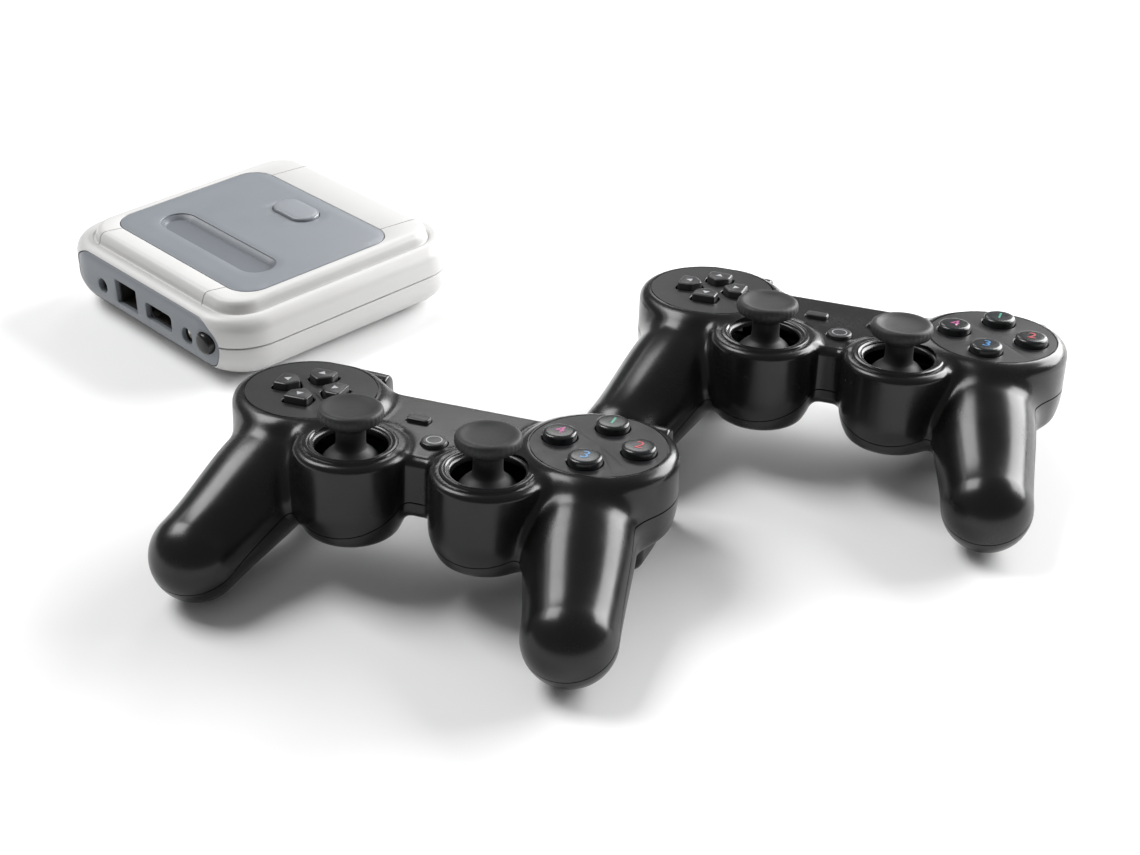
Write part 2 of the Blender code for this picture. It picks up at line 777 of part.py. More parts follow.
def stick_profile():
    """Stick from its foot up: rod, inside of the skirt, skirt dome, shaft and cupped cap."""
    pivot = STICK_PIVOT
    points = [(2.4, pivot - 3.5), (2.4, pivot + 8.2)]
    for radius, angles in ((SKIRT_R - 1.2, (25, 60)), (SKIRT_R, (60, 44, 27))):
        for angle in angles:
            turn = math.radians(angle)
            points.append((radius * math.sin(turn), pivot + radius * math.cos(turn)))
    top = STICK_TOP
    return points + [(4.6, top - 7), (9.4, top - 4), (10.3, top - 1.2), (9.2, top), (3.0, top - 1.0)]


def sticks(name, rubber, dark, parent):
    for label, side in (("left", -1), ("right", 1)):
        centre = (side * STICK_AT[0], STICK_AT[1])
        origin = (*centre, STICK_PIVOT)
        shape = turned(stick_profile(), 14, centre)
        piece(f"{name}_stick_{label}", shape, rubber, parent, origin)
        ring = turned([(6.5, STICK_PIVOT - 2), (6.5, STICK_PIVOT + 2)], 12, centre)
        hole = turned([(4.4, STICK_PIVOT - 4), (4.4, STICK_PIVOT + 4)], 12, centre)
        piece(f"{name}_gimbal_{label}", cut(ring, hole), dark, parent, origin)


def shoulder_buttons(name, finish, parent):
    bumper = [
        (36.4, -10.6),
        (43.0, -10.8),
        (44.4, -9.0),
        (44.4, -5.0),
        (42.8, -2.2),
        (39.4, -1.2),
        (36.4, -2.0),
    ]
    trigger = [
        (36.2, -12.6),
        (41.0, -12.6),
        (44.6, -16.0),
        (45.6, -22.0),
        (46.2, -29.0),
        (48.4, -34.0),
        (46.4, -35.0),
        (42.6, -31.0),
        (40.4, -24.0),
        (38.0, -20.0),
        (36.2, -19.0),
    ]
    for label, side in (("l", -1), ("r", 1)):
        low, high = sorted((side * BUMPER_X[0], side * BUMPER_X[1]))
        middle = (low + high) / 2
        shape = across_x(bumper, low, high)
        shape = add(shape, pod_block(side, BUMPER_STEM))
        piece(f"{name}_{label}1", shape, finish, parent, (middle, 36.4, -6.0))
        shape = across_x(trigger, low, high)
        shape = add(shape, pod_block(side, TRIGGER_EAR))
        piece(f"{name}_{label}2", shape, finish, parent, (middle, *TRIGGER_AXIS))


def middle_keys(name, finish, parent):
    keys = {
        "select_button": (SELECT_AT, small_key(SELECT_AT, 0.0)),
        "start_button": (START_AT, small_key(START_AT, 0.0)),
        "mode_button": (MODE_AT, circle(MODE_AT, MODE_R, 12)),
    }
    for label, (centre, outline) in keys.items():
        shape = prism(outline, PAD_BOARD_Z[1] + 1.6, MIDDLE_KEY_TOP)
        piece(f"{name}_{label}", shape, finish, parent, (*centre, 0.0))


def pad_board(name, finish, parent):
    outline = rounded_rectangle((128.0, 27.5), 12.5, 3, (0.0, 8.75))
    piece(f"{name}_circuit_board", prism(outline, *PAD_BOARD_Z), finish, parent)


def gamepad(name, place, finishes):
    x, y, yaw = place
    parent = empty(name, (x, y, PAD_RISE), (PAD_TILT, 0.0, yaw))
    pad_shells(name, finishes["gloss"], parent)
    direction_pad(name, finishes["black"], finishes["alloy"], parent)
    face_buttons(name, finishes, parent)
    sticks(name, finishes["rubber"], finishes["alloy"], parent)
    shoulder_buttons(name, finishes["gloss"], parent)
    middle_keys(name, finishes["black"], parent)
    pad_board(name, finishes["board"], parent)


def main():
    clear_scene()
    finishes = {name: material(name, *values) for name, values in FINISHES.items()}
    console(finishes)
    for name, place in PAD_PLACES.items():
        gamepad(name, place, finishes)


main()
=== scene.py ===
"""Looks of the square mini game console and its two twin-grip gamepads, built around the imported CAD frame.

Lengths are in millimetres inside each part's own frame and are placed in the row's metres by a matrix.
"""

import json
import math

import bmesh
import bpy
import numpy as np
from mathutils import Matrix, Vector
from mathutils.bvhtree import BVHTree
from mathutils.geometry import delaunay_2d_cdt
from mathutils.interpolate import poly_3d_calc


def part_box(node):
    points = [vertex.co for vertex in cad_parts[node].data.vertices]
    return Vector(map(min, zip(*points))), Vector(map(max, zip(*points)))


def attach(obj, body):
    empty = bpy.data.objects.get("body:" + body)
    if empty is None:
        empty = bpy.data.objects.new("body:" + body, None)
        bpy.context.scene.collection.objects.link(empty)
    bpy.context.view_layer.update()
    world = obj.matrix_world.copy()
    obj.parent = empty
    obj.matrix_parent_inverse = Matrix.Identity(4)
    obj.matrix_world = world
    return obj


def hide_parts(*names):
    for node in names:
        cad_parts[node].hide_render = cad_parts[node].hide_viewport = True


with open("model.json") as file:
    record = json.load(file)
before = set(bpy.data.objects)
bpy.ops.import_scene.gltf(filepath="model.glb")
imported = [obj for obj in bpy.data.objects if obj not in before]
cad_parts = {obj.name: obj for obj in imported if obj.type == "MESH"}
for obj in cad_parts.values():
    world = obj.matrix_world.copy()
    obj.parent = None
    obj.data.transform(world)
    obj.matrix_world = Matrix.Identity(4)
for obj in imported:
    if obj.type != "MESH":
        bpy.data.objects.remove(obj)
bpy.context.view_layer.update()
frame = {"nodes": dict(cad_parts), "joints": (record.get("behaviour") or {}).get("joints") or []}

MM = 0.001
PADS = ("pad_1", "pad_2")

# -------------------- console, in millimetres
SIDE = 110.0
CORNER = 19.5
CORNER_STEPS = 14
PARTING = 15.0
SEAM = 0.22  # half the width of a casing's parting gap
TUCK = 11.5
TUCK_RISE = 12.0
UNDERSIDE = 1.0
SHOULDER = 20.5
SHOULDER_R = 5.2
GROOVE_INSET = 7.0
GROOVE = 24.7
DECK = 29.3
DECK_INSET = 10.4
LID_SIZE = (84.4, 68.3)
LID_Y = -4.2
LID_CORNER = 9.5
LID_GAP = 0.34
LID_FLOOR = 25.7
SEAM_WIDTH = 0.42  # of the deck's four seam lines
SEAMS = {-1: (-33.4, 32.4, 0.33), 1: (-33.4, 33.4, 0.15)}
SLOT_X = (-31.0, 31.5)
SLOT_Y = (-27.0, -13.0)
SLOT_DEPTH = 2.0
KEY_SIZE = (21.0, 11.5)
KEY_AT = (-0.5, 17.0)
KEY_TOP = 30.4
KEY_GAP = 0.28
PANEL_HALF = 44.6
PANEL_Z = (4.2, 23.9)
PANEL_GAP = 0.3
POWER_AT = (39.0, 15.4)
POWER_R = 3.9
POWER_GAP = 0.3
AV_AT = (-25.6, 13.9)
AV_R = 2.9
LAN_X = (-16.7, -3.3)
LAN_Z = (10.4, 20.0)
HDMI_X = (2.7, 18.8)
HDMI_Z = (11.4, 18.0)
DC_AT = (28.3, 14.1)
DC_R = 3.2
SOCKET_FRONT = 51.6
USB_X = (-28.0, -6.0)
USB_OPENING = (14.4, 7.0)
USB_Z = 13.6
CARD_X = 24.0
CARD_OPENING = (13.0, 2.6)
CARD_Z = 11.6
FOOT_AT = 34.0

# -------------------- gamepad, in millimetres
POD_AT = (47.5, 12.0)
POD_R = 24.5
POD_TOP = 3.0
FACE_R = 21.4  # flat face plate on each pod
GRIP_ROOT = (47.0, 8.0, -13.0)
GRIP_TIP = (59.2, -42.0, -30.8)
GRIP_R = 14.2  # at the tip
STICK_AT = (22.0, -13.0)
STICK_PIVOT = -10.0
STICK_TOP = 13.0
WELL_R = 17.5
FRONT_Y = 34.5
PAD_PARTING = -11.0
PARTING_BEND_Y = -8.0
PARTING_SLOPE = 30.0
BUTTON_SPACING = 12.5
BUTTON_R = 5.2
BUTTON_TOP = 5.5
LEAF_REACH = (3.6, 11.4)
LEAF_HALF_WIDTH = 4.0
SELECT_AT = (-10.5, 11.0)
START_AT = (10.5, 11.0)
MODE_AT = (0.0, -1.5)
MODE_R = 4.0
BUTTON_GAP = 0.25
LEAF_GAP = 0.7  # room for the direction pad to rock
STICK_HOLE_R = 11.0
BUMPER_X = (33.5, 61.5)
PAD_WALL = 2.3
SKIN_CELL = 1.3  # mesh size of the gamepad's outer skin
HOLLOW_CELL = 2.6

# -------------------- camera, in metres and radians
CAMERA_AZIMUTH = math.radians(46.2)  # round from -Y towards +X
CAMERA_ELEVATION = math.radians(31.5)
CAMERA_TARGET = (0.027, 0.0165, 0.0018)
CAMERA_DISTANCE = 0.7
CAMERA_LENS = 65.0


# ==================== frames
def console_matrix():
    low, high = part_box("base_shell")
    middle = (low + high) / 2
    return Matrix.Translation((middle.x, middle.y, 0.0)) @ Matrix.Scale(MM, 4)


def pad_matrix(name):
    """The gamepad's own frame, from its stick pivots and the axis its face buttons press along."""
    joints = {joint["child"]: joint for joint in frame["joints"]}
    left = Vector(joints[f"{name}_gimbal_left"]["pos_m"])
    right = Vector(joints[f"{name}_gimbal_right"]["pos_m"])
    across = (right - left).normalized()
    upward = -Vector(joints[f"{name}_button_1"]["axis"])
    away = upward.cross(across).normalized()
    upward = across.cross(away)
    turn = Matrix((across, away, upward)).transposed().to_4x4()
    pivot = (left + right) / 2
    origin = pivot - turn.to_3x3() @ Vector((0.0, STICK_AT[1], STICK_PIVOT)) * MM
    return Matrix.Translation(origin) @ turn @ Matrix.Scale(MM, 4)


CONSOLE = console_matrix()
PAD = {name: pad_matrix(name) for name in PADS}


# ==================== mesh tools
def arc(centre, radius, start, stop, steps):
    points = []
    for step in range(steps + 1):
        angle = math.radians(start + (stop - start) * step / steps)
        points.append((centre[0] + radius * math.cos(angle), centre[1] + radius * math.sin(angle)))
    return points


def circle(centre, radius, steps=48):
    return arc(centre, radius, 0, 360 - 360 / steps, steps - 1)


def rounded(size, corner, steps=CORNER_STEPS, centre=(0.0, 0.0)):
    """Rounded rectangle as an outline running anticlockwise from the +X side."""
    half_x = size[0] / 2
    half_y = size[1] / 2
    corner = min(corner, half_x - 0.001, half_y - 0.001)
    points = []
    for quarter, (sign_x, sign_y) in enumerate(((1, 1), (-1, 1), (-1, -1), (1, -1))):
        middle = (centre[0] + sign_x * (half_x - corner), centre[1] + sign_y * (half_y - corner))
        points += arc(middle, corner, quarter * 90, quarter * 90 + 90, steps)
    return points


def span_box(span_x, span_z, corner, grow=0.0):
    size = (span_x[1] - span_x[0] + 2 * grow, span_z[1] - span_z[0] + 2 * grow)
    return rounded(size, corner + grow, 4, (sum(span_x) / 2, sum(span_z) / 2))


def bridge(mesh, rows):
    """Bands of faces between closed rows of equally many vertices."""
    for first, second in zip(rows, rows[1:]):
        for index in range(len(first)):
            after = (index + 1) % len(first)
            mesh.faces.new((first[index], first[after], second[after], second[index]))


def loft(rings):
    """Closed solid through a row of outlines."""
    mesh = bmesh.new()
    rows = [[mesh.verts.new(point) for point in ring] for ring in rings]
    bridge(mesh, rows)
    mesh.faces.new(list(reversed(rows[0])))
    mesh.faces.new(rows[-1])
    bmesh.ops.recalc_face_normals(mesh, faces=mesh.faces)
    return mesh


def stacked(outline_at, steps):
    """Closed solid through outline_at(grow) at each (grow, height)."""
    return loft([[(x, y, height) for x, y in outline_at(grow)] for grow, height in steps])


def prism(outline, low, high):
    return loft([[(x, y, z) for x, y in outline] for z in (low, high)])


def block(low, high):
    outline = ((low[0], low[1]), (high[0], low[1]), (high[0], high[1]), (low[0], high[1]))
    return prism(outline, low[2], high[2])


def turned(profile, steps=64, centre=(0.0, 0.0)):
    """Solid of revolution about +Z from (radius, height) points."""
    rings = []
    for radius, height in profile:
        rings.append([(x, y, height) for x, y in circle(centre, max(radius, 0.01), steps)])
    return loft(rings)


def facing_front(mesh):
    """Turns a solid built along +Z so that its +Z points to -Y and its plan height becomes Z."""
    bmesh.ops.transform(mesh, matrix=Matrix.Rotation(math.radians(90), 4, "X"), verts=mesh.verts)
    return mesh


def across_x(outline, low, high):
    return loft([[(x, y, z) for y, z in outline] for x in (low, high)])


def join(*meshes):
    """Several bmeshes as one, without any Boolean."""
    result = bmesh.new()
    for mesh in meshes:
        data = bpy.data.meshes.new("part")
        mesh.to_mesh(data)
        mesh.free()
        result.from_mesh(data)
        bpy.data.meshes.remove(data)
    return result


def ease(mesh, width, segments=2, angle=30.0):
    """Rounds every edge sharper than an angle."""
    bmesh.ops.remove_doubles(mesh, verts=mesh.verts, dist=0.0005)
    limit = math.radians(angle)
    edges = [edge for edge in mesh.edges if len(edge.link_faces) == 2 and edge.calc_face_angle(0.0) > limit]
    shape = {"offset": width, "segments": segments, "profile": 0.5, "affect": "EDGES", "clamp_overlap": True}
    bmesh.ops.bevel(mesh, geom=edges, **shape)
    return mesh


def combine(mesh, other, operation):
    holders = []
    for part in (mesh, other):
        data = bpy.data.meshes.new("solid")
        part.to_mesh(data)
        part.free()
        holder = bpy.data.objects.new("solid", data)
        bpy.context.scene.collection.objects.link(holder)
        holders.append(holder)
    step = holders[0].modifiers.new("cut", "BOOLEAN")
    step.operation = operation
    step.solver = "EXACT"
    step.object = holders[1]
    graph = bpy.context.evaluated_depsgraph_get()
    result = bmesh.new()
    result.from_mesh(holders[0].evaluated_get(graph).to_mesh())
    for holder in holders:
        data = holder.data
        bpy.data.objects.remove(holder, do_unlink=True)
        bpy.data.meshes.remove(data)
    bmesh.ops.remove_doubles(result, verts=result.verts, dist=0.0004)
    return result


def cut(mesh, *cutters):
    for cutter in cutters:
        mesh = combine(mesh, cutter, "DIFFERENCE")
    return mesh


def piece(name, mesh, body, materials, place, replaces=(), smooth=35.0, normals=None):
    """Makes a shown object from a bmesh in a part's millimetres and lets it ride on a body.

    normals, if given, is a function of points and face normals that returns the shading normals.
    """
    bmesh.ops.triangulate(mesh, faces=[face for face in mesh.faces if len(face.verts) > 4])
    data = bpy.data.meshes.new(name)
    mesh.to_mesh(data)
    mesh.free()
    for material in materials if isinstance(materials, (list, tuple)) else [materials]:
        data.materials.append(material)
    data.shade_smooth()
    data.set_sharp_from_angle(angle=math.radians(smooth))
    if normals is not None:
        set_normals(data, normals)
    data.transform(place)
    result = bpy.data.objects.new(name, data)
    bpy.context.scene.collection.objects.link(result)
    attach(result, body)
    if replaces:
        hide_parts(*replaces)
    return result


def corner_data(data):
    """Per face corner: the vertex's place and the face's normal."""
    points = np.empty(len(data.vertices) * 3)
    data.vertices.foreach_get("co", points)
    corners = np.empty(len(data.loops), int)
    data.loops.foreach_get("vertex_index", corners)
    faces = np.empty(len(data.polygons) * 3)
    data.polygons.foreach_get("normal", faces)
    sizes = np.empty(len(data.polygons), int)
    data.polygons.foreach_get("loop_total", sizes)
    return points.reshape(-1, 3)[corners], np.repeat(faces.reshape(-1, 3), sizes, axis=0)


def set_normals(data, normals):
    data.update()
    current = np.empty(len(data.loops) * 3)
    data.corner_normals.foreach_get("vector", current)
    points, flat = corner_data(data)
    chosen = normals(points, flat, current.reshape(-1, 3))
    data.normals_split_custom_set(chosen.tolist())


def ring_turned(section, steps=72, centre=(0.0, 0.0)):
    """Closed ring from a closed (radius, height) section."""
    mesh = bmesh.new()
    rows = []
    for step in range(steps):
        angle = 2 * math.pi * step / steps
        x, y = math.cos(angle), math.sin(angle)
        rows.append([mesh.verts.new((centre[0] + r * x, centre[1] + r * y, z)) for r, z in section])
    bridge(mesh, [*rows, rows[0]])
    bmesh.ops.recalc_face_normals(mesh, faces=mesh.faces)
    return mesh


def spline(points, steps=5):
    """Smooth curve through (a, b) points."""
    known = [points[0], *points, points[-1]]
    curve = []
    for index in range(1, len(known) - 2):
        p0, p1, p2, p3 = (np.array(known[index + shift], float) for shift in (-1, 0, 1, 2))
        for step in range(steps):
            t = step / steps
            bend = 2 * p0 - 5 * p1 + 4 * p2 - p3 + t * (3 * (p1 - p2) + p3 - p0)
            curve.append(tuple(p1 + 0.5 * t * (p2 - p0 + t * bend)))
    return curve + [tuple(points[-1])]


def flared(outline_at, low, top, lip, reach=3.0):
    """Cutter for a hole whose rim is rounded; outline_at(grow) gives its outline."""
    steps = [(0.0, low), (0.0, top - lip)]
    for step in range(1, 5):
        angle = math.radians(90 * step / 4)
        steps.append((lip * (1 - math.cos(angle)), top - lip + lip * math.sin(angle)))
    return stacked(outline_at, [*steps, (lip, top + reach)])


def like(source):
    """Shading normals taken from an uncut smooth mesh, wherever a face still lies on it."""
    source.normal_update()
    source.faces.ensure_lookup_table()
    tree = BVHTree.FromBMesh(source)
    faces = []
    for face in source.faces:
        faces.append(([v.co.copy() for v in face.verts], [v.normal.copy() for v in face.verts]))
    source.free()

    def normals(points, flat, current):
        for index in range(len(points)):
            place, facing, face, distance = tree.find_nearest(Vector(points[index]))
            if distance is None or distance > 0.02 or facing.dot(Vector(flat[index])) < 0.9:
                continue
            corners, directions = faces[face]
            shares = poly_3d_calc(corners, place)
            total = sum((direction * share for direction, share in zip(directions, shares)), Vector())
            if total.length > 0.5:
                current[index] = total.normalized()
        return current

    return normals


def inside(points, outline):
    """Which of the plan points lie inside an outline."""
    found = np.zeros(len(points), bool)
    for (ax, ay), (bx, by) in zip(outline, outline[1:] + outline[:1]):
        crosses = (ay > points[:, 1]) != (by > points[:, 1])
        if ay != by:
            found ^= crosses & (points[:, 0] < (bx - ax) * (points[:, 1] - ay) / (by - ay) + ax)
    return found


def shifted(outline, amount):
    """Outline moved to its left by an amount (inwards, when it runs anticlockwise)."""
    points = np.array(outline)
    ahead = np.roll(points, -1, 0) - np.roll(points, 1, 0)
    ahead /= np.linalg.norm(ahead, axis=1)[:, None]
    return [tuple(p) for p in points + np.stack((-ahead[:, 1], ahead[:, 0]), 1) * amount]


def plate(outline, holes, lift, thickness, rim=0.3, spacing=2.5):
    """Plate with rounded rims over an outline with holes; lift(x, y, depth) places a point under its face."""
    loops = [list(outline)] + [list(reversed(hole)) for hole in holes]
    inner = [shifted(loop, rim) for loop in loops]
    points = [point for loop in inner for point in loop]
    edges = []
    start = 0
    for loop in inner:
        edges += [(start + i, start + (i + 1) % len(loop)) for i in range(len(loop))]
        start += len(loop)
    low, high = np.min(outline, 0), np.max(outline, 0)
    grid = np.stack(np.meshgrid(np.arange(low[0], high[0], spacing), np.arange(low[1], high[1], spacing)), -1)
    grid = grid.reshape(-1, 2)
    keep = inside(grid, inner[0])
    for loop in inner[1:]:
        keep &= ~inside(grid, loop)
    border = np.array(points)
    gaps = np.linalg.norm(grid[:, None] - border[None], axis=2).min(1)
    grid = grid[keep & (gaps > spacing * 0.4)]
    flat = [Vector(p) for p in points] + [Vector(p) for p in grid]
    made, _, faces, origins, *_ = delaunay_2d_cdt(flat, edges, [], 1, 1e-5)
    plan = np.array([tuple(p) for p in made])
    middles = np.array([plan[list(face)].mean(0) for face in faces])
    shown = inside(middles, inner[0])
    for loop in inner[1:]:
        shown &= ~inside(middles, loop)
    mesh = bmesh.new()
    top = [mesh.verts.new(lift(x, y, 0.0)) for x, y in plan]
    back = [mesh.verts.new(lift(x, y, thickness)) for x, y in plan]
    for face, good in zip(faces, shown):
        if good:
            mesh.faces.new([top[i] for i in face])
            mesh.faces.new([back[i] for i in reversed(face)])
    where = {given: index for index, givens in enumerate(origins) for given in givens}
    start = 0
    for loop in loops:
        ids = [where[start + index] for index in range(len(loop))]
        start += len(loop)
        rows = [[top[i] for i in ids]]
        for step in range(1, 4):
            angle = math.radians(90 * step / 3)
            edge = shifted(loop, rim * (1 - math.sin(angle)))
            rows.append([mesh.verts.new(lift(x, y, rim * (1 - math.cos(angle)))) for x, y in edge])
        rows.append([mesh.verts.new(lift(x, y, thickness)) for x, y in loop])
        rows.append([back[i] for i in ids])
        bridge(mesh, rows)
    loose = [vert for vert in mesh.verts if not vert.link_faces]
    bmesh.ops.delete(mesh, geom=loose, context="VERTS")
    bmesh.ops.recalc_face_normals(mesh, faces=mesh.faces)
    return mesh


# ==================== materials
def mapped_noise(tree, scale, detail=3.0, rough=0.55):
    place = tree.nodes.new("ShaderNodeTexCoord")
    noise = tree.nodes.new("ShaderNodeTexNoise")
    noise.inputs["Scale"].default_value = scale
    noise.inputs["Detail"].default_value = detail
    noise.inputs["Roughness"].default_value = rough
    tree.links.new(place.outputs["Object"], noise.inputs["Vector"])
    return noise.outputs["Fac"]


def between(tree, value, low, high):
    node = tree.nodes.new("ShaderNodeMapRange")
    node.inputs["From Min"].default_value = 0.3
    node.inputs["From Max"].default_value = 0.7
    node.inputs["To Min"].default_value = low
    node.inputs["To Max"].default_value = high
    tree.links.new(value, node.inputs["Value"])
    return node.outputs["Result"]


def surface(name, colour, roughness, metallic=0.0, grain=None, vary=0.04, specular=0.5, waves=None):
    """Moulded or plated surface: uneven tone and roughness, with a fine grain (size in mm, depth in mm)."""
    made = bpy.data.materials.new(name)
    made.use_nodes = True
    tree = made.node_tree
    shader = tree.nodes["Principled BSDF"]
    shader.inputs["Metallic"].default_value = metallic
    shader.inputs["Specular IOR Level"].default_value = specular

    tone = tree.nodes.new("ShaderNodeMix")
    tone.data_type = "RGBA"
    tone.inputs["A"].default_value = (*[c * (1 - vary) for c in colour], 1.0)
    tone.inputs["B"].default_value = (*[min(c * (1 + vary), 1.0) for c in colour], 1.0)
    tree.links.new(mapped_noise(tree, 45.0), tone.inputs["Factor"])
    tree.links.new(tone.outputs["Result"], shader.inputs["Base Color"])

    smear = between(tree, mapped_noise(tree, 90.0, 5.0, 0.65), roughness * 0.85, roughness * 1.15)
    tree.links.new(smear, shader.inputs["Roughness"])

    before = None
    for layer in (grain, waves):
        if layer is None:
            continue
        size, depth = layer
        bump = tree.nodes.new("ShaderNodeBump")
        bump.inputs["Distance"].default_value = depth * MM
        bump.inputs["Strength"].default_value = 1.0
        tree.links.new(mapped_noise(tree, 1.0 / (size * MM), 2.0), bump.inputs["Height"])
        if before is not None:
            tree.links.new(before, bump.inputs["Normal"])
        before = bump.outputs["Normal"]
    if before is not None:
        tree.links.new(before, shader.inputs["Normal"])
    return made


CREAM = surface("cream_plastic", (0.6, 0.597, 0.59), 0.4, grain=(0.35, 0.006), vary=0.02)
GREY = surface("grey_plastic", (0.215, 0.232, 0.255), 0.33, grain=(0.3, 0.006), vary=0.03)
# Slot recess: the lid's grey made darker, a painted shade for the shallow slot recess.
RECESS_SHADE = surface("recess_painted_shade", (0.15, 0.163, 0.182), 0.4, grain=(0.3, 0.006), vary=0.04)
PANEL = surface("panel_plastic", (0.2, 0.217, 0.238), 0.4, grain=(0.3, 0.006), vary=0.03)
KEY = surface("key_plastic", (0.25, 0.267, 0.29), 0.3, grain=(0.3, 0.004), vary=0.03)
POWER = surface("power_plastic", (0.01, 0.01, 0.011), 0.3, grain=(0.5, 0.003), vary=0.1, specular=0.4)
PAD_GRAIN = (0.4, 0.003)
PAD_WAVES = (9.0, 0.03)
BODY = surface("pad_plastic", (0.007, 0.007, 0.007), 0.25, 0.0, PAD_GRAIN, 0.12, 0.4, PAD_WAVES)
PLATE = surface("plate_plastic", (0.009, 0.009, 0.01), 0.38, grain=(0.3, 0.005), vary=0.12, specular=0.4)
TRIGGER = surface("trigger_plastic", (0.01, 0.01, 0.011), 0.2, 0.0, PAD_GRAIN, 0.12, 0.5, (6.0, 0.02))
DPAD = surface("dpad_plastic", (0.018, 0.018, 0.019), 0.34, grain=(0.25, 0.006), vary=0.12)
BUTTON = surface("button_plastic", (0.012, 0.013, 0.014), 0.24, grain=(0.5, 0.002), vary=0.1)
STICK = surface("stick_rubber", (0.02, 0.02, 0.021), 0.55, grain=(0.22, 0.02), vary=0.12, specular=0.35)
FOOT = surface("foot_rubber", (0.03, 0.03, 0.031), 0.8, grain=(0.3, 0.03), vary=0.12, specular=0.3)
SOCKET = surface("socket_plastic", (0.02, 0.02, 0.02), 0.5, grain=(0.3, 0.01), vary=0.1)
NICKEL = surface("nickel_plate", (0.6, 0.585, 0.55), 0.28, metallic=1.0, grain=(0.15, 0.004), vary=0.08)
GILT = surface("gilt_contact", (0.85, 0.6, 0.25), 0.25, metallic=1.0, grain=(0.2, 0.003), vary=0.08)
BOARD = surface("solder_mask", (0.015, 0.09, 0.04), 0.35, grain=(0.6, 0.02), vary=0.2)
ALLOY = surface("sink_alloy", (0.55, 0.56, 0.58), 0.4, metallic=1.0, grain=(0.25, 0.01), vary=0.06)
MARK_COLOURS = {
    "green": (0.04, 0.3, 0.2),
    "red": (0.4, 0.05, 0.06),
    "blue": (0.05, 0.2, 0.42),
    "pink": (0.38, 0.08, 0.22),
}
MARKS = {}
for hue, colour in MARK_COLOURS.items():
    MARKS[hue] = surface(f"mark_{hue}", colour, 0.3, grain=(0.3, 0.004), vary=0.08)
LIGHT_MARK = surface("mark_grey", (0.35, 0.36, 0.37), 0.35, grain=(0.3, 0.004), vary=0.06)


# ==================== console
def ring_at(inset, height):
    size = SIDE - 2 * inset
    return [(x, y, height) for x, y in rounded((size, size), CORNER - inset)]


def tuck_inset(height):
    """How far the side tucks in below its upright part."""
    share = min(max(1 - (height - UNDERSIDE) / TUCK_RISE, 0.0), 1.0)
    return TUCK * (1 - math.sqrt(1 - share * share))


def side_inset(height):
    """How far the port side's skin lies inside the widest outline at a height."""
    if height > SHOULDER:
        return SHOULDER_R - math.sqrt(SHOULDER_R**2 - min(height - SHOULDER, SHOULDER_R) ** 2)
    return tuck_inset(height)


def base_rings():
    heights = []
    for step in range(1, 12):
        angle = math.radians(90 * step / 12)
        heights.append((TUCK * (1 - math.sin(angle)), UNDERSIDE + TUCK_RISE * (1 - math.cos(angle))))
    edge = PARTING - SEAM
    inner = [(TUCK + 2.0, UNDERSIDE + 2.0)] + [(i + 2.0, max(z, UNDERSIDE + 2.0)) for i, z in heights[::3]]
    outer = [(0.3, edge), (0.08, edge - 0.08), (0.0, edge - 0.3), (0.0, UNDERSIDE + TUCK_RISE)]
    outer += heights[::-1]
    under = [(TUCK - 0.05, UNDERSIDE + 0.02), (TUCK + 0.4, UNDERSIDE)]
    return [ring_at(*point) for point in inner + [(2.0, edge)] + outer + under]


def deck_curve():
    shoulder = [(SHOULDER_R - x, z) for x, z in arc((0.0, SHOULDER), SHOULDER_R, 0, 82, 10)]
    rise = [
        shoulder[-1],
        (GROOVE_INSET - 0.9, 25.35),
        (GROOVE_INSET - 0.1, GROOVE),
        (GROOVE_INSET + 0.45, 25.2),
        (GROOVE_INSET + 0.8, 26.6),
        (GROOVE_INSET + 1.3, 28.0),
        (GROOVE_INSET + 2.2, 28.95),
        (DECK_INSET, DECK),
    ]
    return shoulder[:-1] + spline(rise, 4)


def top_rings():
    edge = PARTING + SEAM
    inner = [(6.5, 23.3), (4.2, 22.8), (2.0, SHOULDER - 0.3), (2.0, edge)]
    outer = [(0.3, edge), (0.08, edge + 0.08), (0.0, edge + 0.3)] + deck_curve() + [(DECK_INSET + 0.6, DECK)]
    rings = [ring_at(*point) for point in inner + outer]
    for grow, height in ((0.3, DECK), (0.08, DECK - 0.08), (0.0, DECK - 0.3), (0.0, LID_FLOOR)):
        rings.append([(x, y, height) for x, y in lid_outline(LID_GAP + grow)])
    return rings


def lid_outline(grow):
    size = (LID_SIZE[0] + 2 * grow, LID_SIZE[1] + 2 * grow)
    return rounded(size, LID_CORNER + grow, CORNER_STEPS, (0.0, LID_Y))


def seam_edges(side):
    """Inner and outer (x, y) ends of the two seams of the front (-1) or rear (1) deck strip."""
    left, right, lean = SEAMS[side]
    inner = LID_Y + side * (LID_SIZE[1] / 2)
    outer = side * (SIDE / 2 - GROOVE_INSET + 0.1)
    shift = lean * (outer - inner)
    return [((x, inner - side * 1.5), (x + shift, outer)) for x in (left, right)]


def seam_cutter(start, end, width, low):
    """Thin upright blade between two plan points."""
    along = (Vector(end) - Vector(start)).normalized()
    across = Vector((-along.y, along.x)) * width / 2
    outline = [Vector(start) - across, Vector(end) - across, Vector(end) + across, Vector(start) + across]
    return prism([tuple(point) for point in outline], low, DECK + 3)


def panel_outline(grow):
    low, high = PANEL_Z
    size = (2 * PANEL_HALF + 2 * grow, high - low + 2 * grow)
    return rounded(size, size[1] / 2 - 0.01, 16, (0.0, (low + high) / 2))


def rear_holes():
    outlines = [rounded(USB_OPENING, 0.8, 4, (x, USB_Z)) for x in USB_X]
    outlines.append(rounded(CARD_OPENING, 1.0, 4, (CARD_X, CARD_Z)))
    return join(*[facing_front(prism(outline, -60.0, -50.0)) for outline in outlines])


